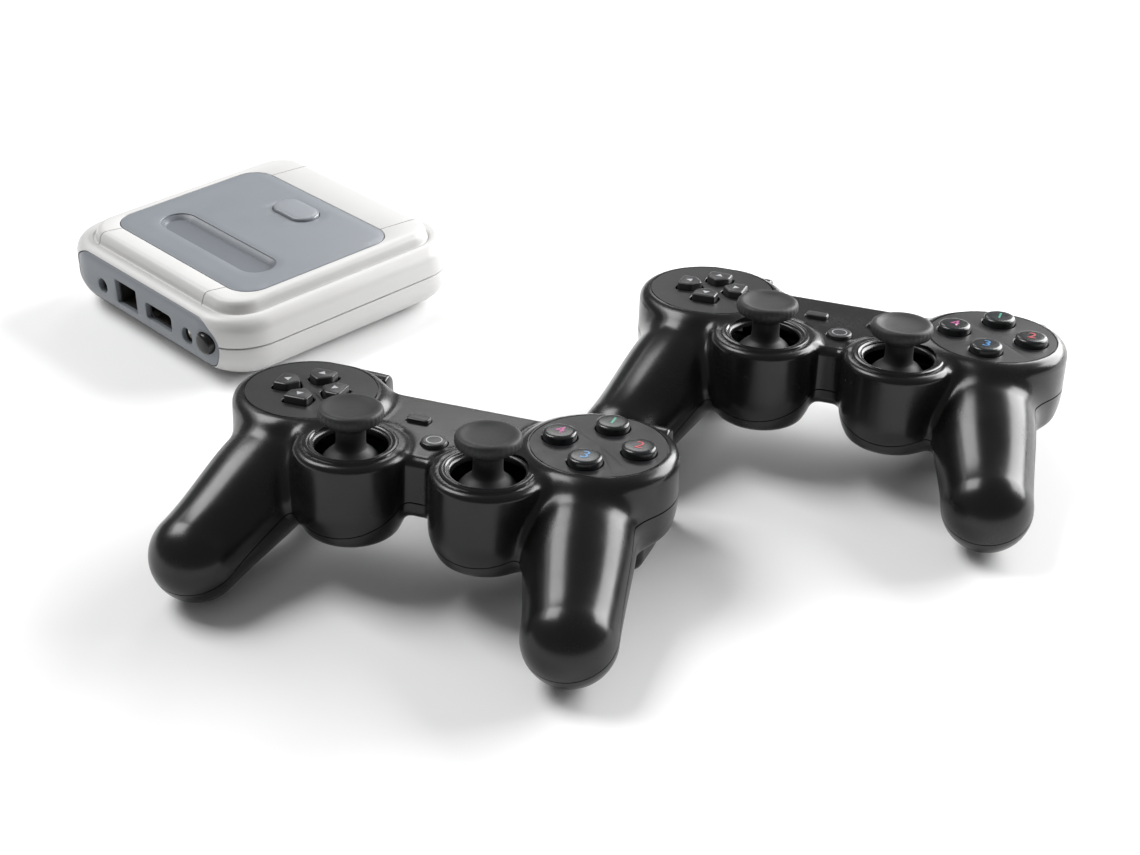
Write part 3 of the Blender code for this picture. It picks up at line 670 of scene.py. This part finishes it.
def console_shells():
    opening = facing_front(prism(panel_outline(PANEL_GAP), 43.5, 60.0))
    whole = loft(base_rings())
    shading = like(whole.copy())
    shape = cut(whole, opening.copy(), rear_holes())
    piece("casing_lower", shape, "console", CREAM, CONSOLE, ["base_shell"], normals=shading)

    whole = loft(top_rings())
    shading = like(whole.copy())
    blades = [seam_cutter(*ends, SEAM_WIDTH, GROOVE - 0.9) for side in (-1, 1) for ends in seam_edges(side)]
    well = turned([(2.8, 21.0), (2.8, 27.5)], 32, KEY_AT)
    shape = cut(whole, opening, rear_holes(), join(well, *blades))
    covered = ["top_shell", "trim_strip_front", "trim_strip_rear"]
    piece("casing_upper", shape, "console", CREAM, CONSOLE, covered, normals=shading)


def slot_outline(grow):
    size = (SLOT_X[1] - SLOT_X[0] + 2 * grow, SLOT_Y[1] - SLOT_Y[0] + 2 * grow)
    return rounded(size, size[1] / 2 - 0.01, 16, (sum(SLOT_X) / 2, sum(SLOT_Y) / 2))


def key_outline(grow):
    size = (KEY_SIZE[0] + 2 * grow, KEY_SIZE[1] + 2 * grow)
    return rounded(size, size[1] / 2 - 0.01, 16, KEY_AT)


def lid():
    def lift(x, y, depth):
        return (x, y, DECK - depth)

    face = plate(lid_outline(0.0), [slot_outline(0.0), key_outline(KEY_GAP)], lift, 3.2, 0.32, 4.0)
    floor = DECK - SLOT_DEPTH
    steps = [(-0.02, DECK - 3.1), (-0.02, DECK - 0.5), (-0.25, DECK - 0.55)]
    steps += [(-1.5, floor + 0.35), (-1.9, floor)]
    tray = stacked(slot_outline, steps)
    piece("lid", face, "console", GREY, CONSOLE, ["lid_panel"])
    # The slot's tray takes the darker grey that paints shade into the recess.
    piece("lid_recess", tray, "console", RECESS_SHADE, CONSOLE)

    steps = [(0.0, 27.2), (0.0, KEY_TOP - 0.75), (-0.12, KEY_TOP - 0.4), (-0.4, KEY_TOP - 0.14)]
    steps += [(-0.9, KEY_TOP - 0.02), (-2.2, KEY_TOP), (-4.2, KEY_TOP + 0.03)]
    stem = turned([(2.4, 20.6), (2.4, 27.4)], 24, KEY_AT)
    shape = join(stacked(key_outline, steps), stem)
    piece("reset_key", shape, "top_key", KEY, CONSOLE, ["top_key"])


def port_panel():
    straight = SIDE / 2 - CORNER

    def lift(x, z, depth):
        inset = side_inset(z) + 0.3
        reach = SIDE / 2 - inset
        beyond = abs(x) - straight
        if beyond > 0:
            reach = straight + math.sqrt(max((CORNER - inset) ** 2 - beyond**2, 0.0))
        return (x, -reach + depth, z)

    holes = [
        circle(AV_AT, AV_R, 32),
        circle(DC_AT, DC_R, 32),
        circle(POWER_AT, POWER_R + POWER_GAP, 40),
        span_box(LAN_X, LAN_Z, 0.4),
        span_box(HDMI_X, HDMI_Z, 1.4),
    ]
    shape = plate(panel_outline(0.0), holes, lift, 2.0, 0.3, 1.6)
    piece("port_plate", shape, "console", PANEL, CONSOLE, ["port_panel"])


def ports():
    """Detail inside the ports: plated shells, contacts and bushes."""
    front = SOCKET_FRONT
    rings = []
    for centre, radius in ((AV_AT, AV_R), (DC_AT, DC_R)):
        section = [(radius - 0.75, front - 6), (radius + 0.5, front - 6), (radius + 0.5, front + 0.5)]
        section += [(radius - 0.35, front + 0.5), (radius - 0.75, front + 0.1)]
        rings.append(facing_front(ring_turned(section, 48, centre)))
    piece("jack_bushes", join(*rings), "console", NICKEL, CONSOLE)
    profile = [(0.75, front - 10), (0.75, front - 1.3), (0.55, front - 0.9), (0.2, front - 0.8)]
    pin = facing_front(turned(profile, 24, DC_AT))
    piece("power_pin", pin, "console", NICKEL, CONSOLE)

    middle = sum(LAN_X) / 2
    wires = []
    section = [(1.2, 11.3), (1.2, 11.6), (9.0, 15.2), (9.2, 14.9), (2.2, 11.3)]
    for wire in range(8):
        x = middle + (wire - 3.5) * 1.02
        wires.append(across_x([(y - front, z) for y, z in section], x - 0.2, x + 0.2))
    piece("network_contacts", join(*wires), "console", GILT, CONSOLE)

    middle = sum(HDMI_X) / 2
    outer = [(-7.35, 17.25), (-7.35, 13.7), (-5.4, 11.9), (5.4, 11.9), (7.35, 13.7), (7.35, 17.25)]
    inner = [(-7.0, 16.95), (-7.0, 13.85), (-5.25, 12.25), (5.25, 12.25), (7.0, 13.85), (7.0, 16.95)]
    mesh = bmesh.new()
    rows = []
    for outline, y in ((outer, 2.5), (outer, -1.0), (inner, -1.0), (inner, 2.5)):
        rows.append([mesh.verts.new((middle + x, -front + y, z)) for x, z in outline])
    bridge(mesh, [*rows, rows[0]])
    bmesh.ops.recalc_face_normals(mesh, faces=mesh.faces)
    piece("hdmi_shroud", mesh, "console", NICKEL, CONSOLE)
    contacts = []
    for contact in range(10):
        x = middle + (contact - 4.5) * 1.05
        contacts.append(block((x - 0.25, -front + 2.3, 14.28), (x + 0.25, -front + 8.0, 14.45)))
    piece("hdmi_contacts", join(*contacts), "console", GILT, CONSOLE)

    contacts = []
    for socket in USB_X:
        for contact in range(4):
            x = socket + (contact - 1.5) * 2.4
            contacts.append(block((x - 0.5, front - 9.0, USB_Z - 1.05), (x + 0.5, front - 2.2, USB_Z - 0.85)))
    piece("usb_contacts", join(*contacts), "console", GILT, CONSOLE)


def power_key():
    profile = [(POWER_R, 46.0), (POWER_R, 55.0), (POWER_R - 0.1, 55.4), (POWER_R - 0.4, 55.75)]
    profile += [(POWER_R - 0.9, 56.0), (2.2, 56.2), (1.0, 56.28), (0.0, 56.3)]
    shape = facing_front(turned(profile, 56, POWER_AT))
    piece("power_cap", shape, "power_button", POWER, CONSOLE, ["power_button"])


def feet():
    for number, (sign_x, sign_y) in enumerate(((-1, -1), (1, -1), (-1, 1), (1, 1)), 1):
        profile = [(0.0, 0.0), (3.9, 0.0), (4.5, 0.08), (4.85, 0.3), (5.0, 0.6), (5.0, 0.95)]
        shape = turned(profile, 40, (sign_x * FOOT_AT, sign_y * FOOT_AT))
        piece(f"rubber_foot_{number}", shape, "console", FOOT, CONSOLE, [f"foot_{number}"])


# ==================== gamepad form
def smooth_min(a, b, reach):
    share = np.clip(0.5 + 0.5 * (b - a) / reach, 0.0, 1.0)
    return b * (1 - share) + a * share - reach * share * (1 - share)


def smooth_max(a, b, reach):
    return -smooth_min(-a, -b, reach)


def drum(p, centre, radius, low, high, edge, taper=0.0):
    """Distance to an upright drum with rounded edges; the taper narrows it towards its foot."""
    narrow = taper * np.clip((low + 12.0 - p[:, 2]) / 12.0, 0.0, 1.0) ** 2
    across = np.hypot(p[:, 0] - centre[0], p[:, 1] - centre[1]) - (radius - narrow - edge)
    upright = np.abs(p[:, 2] - (low + high) / 2) - ((high - low) / 2 - edge)
    outside = np.hypot(np.maximum(across, 0), np.maximum(upright, 0))
    return outside + np.minimum(np.maximum(across, upright), 0) - edge


def cushion(p, low, high, edge):
    """Distance to a box with rounded edges."""
    middle = (np.array(low) + high) / 2
    beyond = np.abs(p - middle) - ((np.array(high) - low) / 2 - edge)
    outside = np.linalg.norm(np.maximum(beyond, 0), axis=1)
    return outside + np.minimum(beyond.max(1), 0) - edge


def grip(p, side):
    """Distance to a grip: a bar along a bowed line that swells and ends round."""
    start = np.array(GRIP_ROOT)
    end = np.array(GRIP_TIP)
    own = p * np.array([side, 1, 1])
    length = np.linalg.norm(end - start)
    share = np.clip((own - start) @ (end - start) / length**2, 0, 1)[:, None]
    line = start + (end - start) * share + np.array([-6.0, 0.0, 16.0]) * share * (1 - share) ** 2
    share = share[:, 0]
    radius = GRIP_R + (1 - share) ** 2 * (-0.2 + 18.0 * share)
    return np.linalg.norm(own - line, axis=1) - radius


def pad_field(p):
    """Signed distance, roughly, to the whole gamepad body, negative inside."""
    form = cushion(p, (-42, -14, -20), (42, 28, 0), 3.0)
    for side in (-1, 1):
        pod = (side * POD_AT[0], POD_AT[1])
        well = (side * STICK_AT[0], STICK_AT[1])
        form = smooth_min(form, drum(p, pod, POD_R, -24.0, POD_TOP + 0.06, 4.0, 2.5), 4.0)
        form = smooth_min(form, drum(p, well, WELL_R, -28.0, 1.0, 2.2, 4.0), 3.0)
        low, high = sorted((side * 32.0, side * 63.0))
        form = smooth_min(form, cushion(p, (low + 0.5, 10.5, -38.0), (high - 0.5, 31.0, -6.0), 4.0), 4.0)
        form = smooth_min(form, grip(p, side), 5.0)
    return smooth_max(form, p[:, 1] - FRONT_Y, 2.0)


def slope_of(field, p, step=0.05):
    slope = np.empty_like(p)
    for axis in range(3):
        shift = np.zeros(3)
        shift[axis] = step
        slope[:, axis] = (field(p + shift) - field(p - shift)) / (2 * step)
    return slope


def net(field, low, high, cell, level=0.0, settle=4):
    """Closed quad skin where a field crosses a level, settled onto it."""
    axes = [np.arange(a, b + cell, cell) for a, b in zip(low, high)]
    grid = np.stack(np.meshgrid(*axes, indexing="ij"), -1)
    value = (field(grid.reshape(-1, 3)) - level).reshape(grid.shape[:3])
    solid = value < 0
    size = np.array(solid.shape) - 1
    offsets = [(i, j, k) for i in (0, 1) for j in (0, 1) for k in (0, 1)]

    def corner(array, offset):
        i, j, k = offset
        return array[i : i + size[0], j : j + size[1], k : k + size[2]]

    filled = sum(corner(solid, offset).astype(int) for offset in offsets)
    mixed = (filled > 0) & (filled < 8)
    number = np.full(mixed.shape, -1)
    number[mixed] = np.arange(mixed.sum())
    total = np.zeros((mixed.sum(), 3))
    count = np.zeros(mixed.sum())
    for start in offsets:
        for axis in range(3):
            if start[axis]:
                continue
            stop = tuple(1 if index == axis else start[index] for index in range(3))
            a = corner(value, start)[mixed]
            b = corner(value, stop)[mixed]
            crossed = (a < 0) != (b < 0)
            share = np.where(crossed, a / np.where(crossed, a - b, 1.0), 0.0)
            share = share[:, None]
            point = corner(grid, start)[mixed] * (1 - share) + corner(grid, stop)[mixed] * share
            total += point * crossed[:, None]
            count += crossed
    points = total / count[:, None]

    quads = []
    for axis in range(3):
        one, two = [(1, 2), (2, 0), (0, 1)][axis]
        ahead = [slice(1, -1)] * 3
        ahead[axis] = slice(0, -1)
        later = list(ahead)
        later[axis] = slice(1, None)
        a = solid[tuple(ahead)]
        b = solid[tuple(later)]
        place = np.argwhere(a != b)
        rising = a[a != b]
        place[:, one] += 1
        place[:, two] += 1
        around = []
        for back_one, back_two in ((1, 1), (0, 1), (0, 0), (1, 0)):
            cell_at = place.copy()
            cell_at[:, one] -= back_one
            cell_at[:, two] -= back_two
            around.append(number[cell_at[:, 0], cell_at[:, 1], cell_at[:, 2]])
        quad = np.stack(around, 1)
        quad[~rising] = quad[~rising][:, ::-1]
        quads.append(quad)
    quads = np.concatenate(quads)

    for round_number in range(settle):
        slope = slope_of(field, points)
        points -= slope * ((field(points) - level) / (slope**2).sum(1))[:, None]
        if round_number < settle - 1:
            total = np.zeros_like(points)
            count = np.zeros(len(points))
            for corner_at in range(4):
                ends = quads[:, (corner_at + 1) % 4]
                np.add.at(total, quads[:, corner_at], points[ends])
                np.add.at(total, ends, points[quads[:, corner_at]])
                np.add.at(count, quads[:, corner_at], 1)
                np.add.at(count, ends, 1)
            drift = total / count[:, None] - points
            slope /= np.linalg.norm(slope, axis=1)[:, None]
            points += 0.7 * (drift - slope * (drift * slope).sum(1)[:, None])
    data = bpy.data.meshes.new("net")
    data.from_pydata(points.tolist(), [], quads.tolist())
    mesh = bmesh.new()
    mesh.from_mesh(data)
    bpy.data.meshes.remove(data)
    bmesh.ops.recalc_face_normals(mesh, faces=mesh.faces)
    return mesh


def parting_half(upper):
    offset = SEAM if upper else -SEAM
    level = PAD_PARTING + offset
    drop = (PARTING_BEND_Y + 90) * math.tan(math.radians(PARTING_SLOPE))
    far = 30.0 if upper else -90.0
    outline = [(60, level), (PARTING_BEND_Y, level), (-90, level - drop), (-90, far), (60, far)]
    return across_x(outline, -90, 90)


def button_places():
    """Face buttons 1 to 4: far, right, near and left."""
    x, y = POD_AT
    step = BUTTON_SPACING
    return [(x, y + step), (x + step, y), (x, y - step), (x - step, y)]


def leaf(quarter, grow):
    """Outline of one arm of the direction pad, pointed towards the middle, with eased corners."""
    low, high = LEAF_REACH
    half = LEAF_HALF_WIDTH
    sharp = [(low, 0.0), (low + 3.0, -half), (high, -half), (high, half), (low + 3.0, half)]
    eased = []
    for index, point in enumerate(sharp):
        here = np.array(point)
        before = np.array(sharp[index - 1]) - here
        after = np.array(sharp[(index + 1) % len(sharp)]) - here
        before = here + before / np.linalg.norm(before)
        after = here + after / np.linalg.norm(after)
        for step in range(5):
            t = step / 4
            eased.append(tuple(before * (1 - t) ** 2 + 2 * here * t * (1 - t) + after * t**2))
    turn = Matrix.Rotation(math.radians(90 * quarter), 2)
    centre = Vector((-POD_AT[0], POD_AT[1]))
    return [tuple(turn @ Vector(point) + centre) for point in shifted(eased, -grow)]


def small_key(centre, grow):
    return rounded((7.4 + 2 * grow, 3.8 + 2 * grow), 1.2 + grow, 6, centre)


def pad_cutters():
    """Holes with rounded rims in the upper half, and the fine ring round each face plate."""
    top = POD_TOP
    hole_r = BUTTON_R + BUTTON_GAP
    shapes = []
    for x, y in button_places():
        shapes.append(flared(lambda grow, at=(x, y): circle(at, hole_r + grow, 40), -8, top, 0.35))
    for quarter in range(4):
        shapes.append(flared(lambda grow, at=quarter: leaf(at, LEAF_GAP + grow), -8, top, 0.35))
    for side in (-1, 1):
        centre = (side * STICK_AT[0], STICK_AT[1])
        shapes.append(flared(lambda grow, at=centre: circle(at, STICK_HOLE_R + grow, 64), -9, 1.0, 1.0))
    for at in (SELECT_AT, START_AT):
        shapes.append(flared(lambda grow, at=at: small_key(at, BUTTON_GAP + grow), -8, 0.0, 0.3))
    shapes.append(flared(lambda grow: circle(MODE_AT, MODE_R + BUTTON_GAP + grow, 40), -8, 0.0, 0.3))
    for side in (-1, 1):
        pod = (side * POD_AT[0], POD_AT[1])
        groove = [(-0.75, -0.45), (-0.45, -0.45), (-0.3, 1.0), (-0.9, 1.0)]
        shapes.append(ring_turned([(FACE_R + r, top + z) for r, z in groove], 96, pod))
    return join(*shapes)


def shoulder_windows():
    shapes = []
    for side in (-1, 1):
        x = side * POD_AT[0]
        shapes.append(block((x - 9.6, 24, -9.2), (x + 9.6, 50, -4.2)))
        shapes.append(block((x - 6.6, 24, -20.0), (x + 6.6, 50, -12.0)))
    return join(*shapes)


def pad_normals(points, flat, current):
    slope = slope_of(pad_field, points)
    slope /= np.linalg.norm(slope, axis=1)[:, None]
    on_skin = (np.abs(pad_field(points)) < 0.08) & ((slope * flat).sum(1) > 0.86)
    current[on_skin] = slope[on_skin]
    on_plate = (np.abs(points[:, 2] - POD_TOP) < 0.03) & (flat[:, 2] > 0.999)
    current[on_plate] = (0.0, 0.0, 1.0)
    return current


def plate_discs():
    """Cuts each face plate flat."""
    profile = [(0.0, POD_TOP), (FACE_R, POD_TOP), (FACE_R, POD_TOP + 12), (0.0, POD_TOP + 12)]
    return join(*[turned(profile, 96, (side * POD_AT[0], POD_AT[1])) for side in (-1, 1)])


def satin_plates(data):
    """Gives the face plates inside their fine rings the second material."""
    for face in data.polygons:
        x, y, z = face.center
        if z > POD_TOP - 0.6 and math.hypot(abs(x) - POD_AT[0], y - POD_AT[1]) < FACE_R - 0.75:
            face.material_index = 1


def pad_shapes():
    """Upper and lower shell of one gamepad as finished meshes in its own millimetres."""
    reach = ((-82, -64, -46), (82, 42, 10))
    skin = net(pad_field, *reach, SKIN_CELL)
    hollow = net(pad_field, *reach, HOLLOW_CELL, level=-PAD_WALL)
    body = cut(skin, hollow, shoulder_windows())
    lower = combine(body.copy(), parting_half(False), "INTERSECT")
    upper = combine(body, parting_half(True), "INTERSECT")
    return {"lower": lower, "upper": cut(upper, plate_discs(), pad_cutters())}


def pad_shells(shapes, name):
    own = Matrix.Identity(4)
    for half in ("upper", "lower"):
        shape = shapes[half].copy()
        shells = [f"{name}_{half}_shell"]
        label = f"{name}_{half}_half"
        made = piece(label, shape, name, (BODY, PLATE), own, shells, normals=pad_normals)
        satin_plates(made.data)
        made.data.transform(PAD[name])


# ==================== gamepad controls
def number_mark(text, size, centre, height):
    """Small raised numeral lying face up."""
    curve = bpy.data.curves.new("mark", "FONT")
    curve.body = text
    curve.size = size
    curve.align_x = "CENTER"
    curve.align_y = "CENTER"
    curve.extrude = 0.04
    curve.resolution_u = 4
    holder = bpy.data.objects.new("mark", curve)
    bpy.context.scene.collection.objects.link(holder)
    graph = bpy.context.evaluated_depsgraph_get()
    data = bpy.data.meshes.new_from_object(holder.evaluated_get(graph))
    mesh = bmesh.new()
    mesh.from_mesh(data)
    bpy.data.objects.remove(holder, do_unlink=True)
    bpy.data.curves.remove(curve)
    bpy.data.meshes.remove(data)
    bmesh.ops.translate(mesh, vec=(centre[0], centre[1], height + 0.03), verts=mesh.verts)
    return mesh


def face_buttons(name):
    for number, (hue, (x, y)) in enumerate(zip(MARKS, button_places()), 1):
        r = BUTTON_R
        profile = [(0.0, -13.4), (2.5, -13.4), (2.5, -2.9), (6.1, -2.7), (6.1, -1.5), (r, -1.4)]
        profile += [(r, BUTTON_TOP - 0.9), (r - 0.08, BUTTON_TOP - 0.6)]
        profile += [(r - 0.35, BUTTON_TOP - 0.28), (r - 0.8, BUTTON_TOP - 0.1)]
        profile += [(r - 1.4, BUTTON_TOP - 0.03), (2.0, BUTTON_TOP), (0.0, BUTTON_TOP)]
        label = f"{name}_button_{number}"
        cap = turned(profile, 48, (x, y))
        piece(f"{label}_cap", cap, label, BUTTON, PAD[name], [label])
        mark = number_mark(str(number), 6.2, (x, y), BUTTON_TOP)
        piece(f"{label}_mark", mark, label, MARKS[hue], PAD[name])


def direction_pad(name):
    centre = (-POD_AT[0], POD_AT[1])
    top = POD_TOP + 2.2
    shapes = [turned([(0.0, -3.0), (12.0, -3.0), (12.0, -1.3), (0.0, -1.3)], 48, centre)]
    steps = [(0.0, -1.6), (0.0, top - 0.6), (-0.12, top - 0.28), (-0.45, top - 0.06), (-0.9, top)]
    for quarter in range(4):
        shapes.append(stacked(lambda grow, at=quarter: leaf(at, grow), steps))
    label = f"{name}_dpad"
    piece(f"{label}_keys", join(*shapes), label, DPAD, PAD[name], [label])
    arrows = []
    for quarter in range(4):
        turn = Matrix.Rotation(math.radians(90 * quarter), 2)
        corners = [(9.4, 0.0), (7.4, 1.25), (7.4, -1.25)]
        outline = [tuple(turn @ Vector(corner) + Vector(centre)) for corner in corners]
        arrows.append(prism(outline, top - 0.05, top + 0.05))
    piece(f"{label}_arrows", join(*arrows), label, LIGHT_MARK, PAD[name])


def stick(name, label, side):
    centre = (side * STICK_AT[0], STICK_AT[1])
    pivot = STICK_PIVOT
    top = STICK_TOP
    profile = [(0.0, pivot - 3.5), (2.4, pivot - 3.5), (2.4, pivot + 8.2)]
    for radius, angles in ((9.6, (25, 35, 48, 60)), (10.7, (60, 52, 44, 36, 29))):
        for angle in angles:
            turn = math.radians(angle)
            profile.append((radius * math.sin(turn), pivot + radius * math.cos(turn)))
    profile += [(4.75, top - 12.9), (4.5, top - 11.5), (4.5, top - 7.3), (4.8, top - 6.5), (6.1, top - 5.5)]
    profile += [(8.5, top - 4.4), (9.4, top - 3.8), (9.85, top - 3.1), (10.0, top - 2.3), (9.95, top - 1.4)]
    profile += [(9.7, top - 0.6), (9.2, top - 0.15), (8.6, top), (7.9, top - 0.1), (7.2, top - 0.45)]
    profile += [(5.5, top - 0.85), (3.0, top - 1.05), (0.0, top - 1.1)]
    steps = 144
    rings = []
    for radius, height in profile:
        ring = circle(centre, max(radius, 0.01), steps)
        if radius > 9.8 and height > top - 4:  # the ridged edge of the head
            for index, (x, y) in enumerate(ring):
                dent = 1 - 0.012 * (index % 4 in (0, 1))
                ring[index] = (centre[0] + (x - centre[0]) * dent, centre[1] + (y - centre[1]) * dent)
        rings.append([(x, y, height) for x, y in ring])
    shape = loft(rings)
    body = f"{name}_stick_{label}"
    piece(f"{body}_cap", shape, body, STICK, PAD[name], [body], smooth=40)
    section = [(12.15, 0.55), (14.3, 0.55), (14.45, 0.95), (14.2, 1.45)]
    section += [(13.6, 1.65), (12.9, 1.6), (12.3, 1.3), (12.1, 0.95)]
    collar = ring_turned(section, 96, centre)
    piece(f"{name}_collar_{label}", collar, name, TRIGGER, PAD[name])


def key_bar(outline, low, high, rim=0.9, crown=1.3):
    """Shoulder key from its (y, z) section: ends rounded, outer skin crowned across its width."""
    middle = (low + high) / 2
    half = (high - low) / 2
    turned_left = sum(ay * bz - by * az for (ay, az), (by, bz) in zip(outline, outline[1:] + outline[:1])) > 0
    rings = []
    for step in range(-14, 15):
        x = half * math.sin(math.radians(90 * step / 14))
        beyond = max(abs(x) - (half - rim), 0.0)
        shrink = rim - math.sqrt(max(rim**2 - beyond**2, 0.0))
        section = shifted(outline, shrink if turned_left else -shrink)
        draws = [crown * (x / half) ** 2 * min(max((y - 37.0) / 8, 0.0), 1.0) for y, z in section]
        rings.append([(middle + x, y - draw, z) for (y, z), draw in zip(section, draws)])
    return loft(rings)


def shoulder_keys(name):
    """Bumpers and triggers, each from a (y, z) section of two or three smooth runs."""
    front = [(36.4, -10.4), (40.0, -10.75), (43.0, -10.6), (44.3, -9.0), (44.4, -6.5), (43.9, -4.2)]
    top = [(43.4, -3.0), (41.6, -1.7), (39.4, -1.3), (36.9, -1.7), (36.4, -2.2)]
    bumper = spline(front, 4) + spline(top, 4)
    front = [(36.2, -12.9), (38.5, -12.6), (41.2, -13.0), (43.8, -15.2), (45.0, -19.0), (45.5, -24.0)]
    lip = [(45.7, -26.0), (46.4, -30.0), (48.1, -33.6), (47.7, -34.7), (46.2, -34.7), (43.4, -31.6)]
    back = [(41.8, -28.5), (40.2, -23.8), (38.1, -20.2), (36.2, -19.1)]
    trigger = spline(front, 4) + spline(lip, 4) + spline(back, 4)
    for label, side in (("l", -1), ("r", 1)):
        low, high = sorted((side * BUMPER_X[0], side * BUMPER_X[1]))
        middle = side * POD_AT[0]
        for kind, outline, stem in (
            ("1", bumper, ((middle - 9.0, 30.0, -8.8), (middle + 9.0, 37.0, -4.6))),
            ("2", trigger, ((middle - 6.0, 30.0, -17.4), (middle + 6.0, 37.0, -13.6))),
        ):
            shape = join(key_bar(outline, low, high), ease(block(*stem), 0.3, 1))
            body = f"{name}_{label}{kind}"
            piece(f"{body}_key", shape, body, TRIGGER, PAD[name], [body], smooth=60)


def middle_keys(name):
    outlines = {
        "select_button": lambda grow: small_key(SELECT_AT, grow),
        "start_button": lambda grow: small_key(START_AT, grow),
        "mode_button": lambda grow: circle(MODE_AT, MODE_R + grow, 48),
    }
    steps = ((0.0, -14.2), (0.0, 0.65), (-0.12, 0.98), (-0.4, 1.17), (-0.8, 1.2))
    for label, outline_at in outlines.items():
        body = f"{name}_{label}"
        piece(f"{body}_cap", stacked(outline_at, steps), body, DPAD, PAD[name], [body])
    ring = ring_turned([(2.2, 1.15), (2.5, 1.15), (2.5, 1.24), (2.2, 1.24)], 48, MODE_AT)
    piece(f"{name}_mode_ring", ring, f"{name}_mode_button", LIGHT_MARK, PAD[name])


def gamepads():
    shapes = pad_shapes()
    for name in PADS:
        pad_shells(shapes, name)
        direction_pad(name)
        face_buttons(name)
        for label, side in (("left", -1), ("right", 1)):
            stick(name, label, side)
        shoulder_keys(name)
        middle_keys(name)
    for mesh in shapes.values():
        mesh.free()


# ==================== what stays from the CAD
def dress_cad():
    """Better materials for the CAD nodes that keep their own shape."""
    kept = {
        "main_board": BOARD,
        "heat_sink": ALLOY,
        "av_jack": SOCKET,
        "dc_jack": SOCKET,
        "lan_jack": SOCKET,
        "hdmi_socket": SOCKET,
        "usb_socket": NICKEL,
        "card_slot": NICKEL,
    }
    for name in PADS:
        kept[f"{name}_circuit_board"] = BOARD
        kept[f"{name}_dpad_pivot"] = ALLOY
        kept[f"{name}_gimbal_left"] = ALLOY
        kept[f"{name}_gimbal_right"] = ALLOY
    for node, material in kept.items():
        for material_slot in frame["nodes"][node].material_slots:
            material_slot.material = material


# ==================== stage, light and camera
def area_light(name, direction, distance, size, power, target=(0.0, 0.0, 0.02)):
    """Rectangular light looking at a target from a direction."""
    light = bpy.data.lights.new(name, "AREA")
    light.shape = "RECTANGLE"
    light.size, light.size_y = size
    light.energy = power
    holder = bpy.data.objects.new(name, light)
    ray = Vector(direction).normalized()
    holder.location = Vector(target) + ray * distance
    holder.rotation_euler = ray.to_track_quat("Z", "Y").to_euler()
    bpy.context.scene.collection.objects.link(holder)


def stage():
    data = bpy.data.meshes.new("floor")
    data.from_pydata([(-6, -6, 0), (6, -6, 0), (6, 6, 0), (-6, 6, 0)], [], [(0, 1, 2, 3)])
    floor = bpy.data.objects.new("floor", data)
    data.materials.append(surface("floor_paper", (0.93, 0.93, 0.93), 0.8, vary=0.003, specular=0.1))
    bpy.context.scene.collection.objects.link(floor)

    world = bpy.data.worlds.new("studio")
    world.use_nodes = True
    world.node_tree.nodes["Background"].inputs["Color"].default_value = (1.0, 1.0, 1.0, 1.0)
    world.node_tree.nodes["Background"].inputs["Strength"].default_value = 0.2
    bpy.context.scene.world = world
    bpy.context.scene.view_settings.view_transform = "Standard"

    area_light("key", (-0.55, -0.2, 0.82), 3.0, (1.5, 1.5), 72.0)
    area_light("strip_right", (0.14, 0.9, 0.4), 1.2, (1.2, 0.7), 30.0, (0.07, 0.0, 0.0))
    area_light("strip_left", (-0.81, -0.16, 0.56), 1.2, (0.9, 0.1), 0.9, (0.07, 0.0, 0.0))
    area_light("back_glow", (-0.56, 0.63, 0.52), 1.2, (0.35, 0.3), 1.4, (-0.1, 0.02, 0.03))


def camera():
    """The photograph's viewing direction, moved back to take in the whole set at its real scale."""
    level = math.cos(CAMERA_ELEVATION)
    x, y = math.sin(CAMERA_AZIMUTH) * level, -math.cos(CAMERA_AZIMUTH) * level
    back = Vector((x, y, math.sin(CAMERA_ELEVATION)))
    lens = bpy.data.cameras.new("camera")
    lens.lens = CAMERA_LENS
    lens.clip_start = 0.02
    holder = bpy.data.objects.new("camera", lens)
    holder.location = Vector(CAMERA_TARGET) + back * CAMERA_DISTANCE
    holder.rotation_euler = back.to_track_quat("Z", "Y").to_euler()
    bpy.context.scene.collection.objects.link(holder)
    bpy.context.scene.camera = holder


console_shells()
lid()
port_panel()
ports()
power_key()
feet()
gamepads()
dress_cad()
stage()
camera()
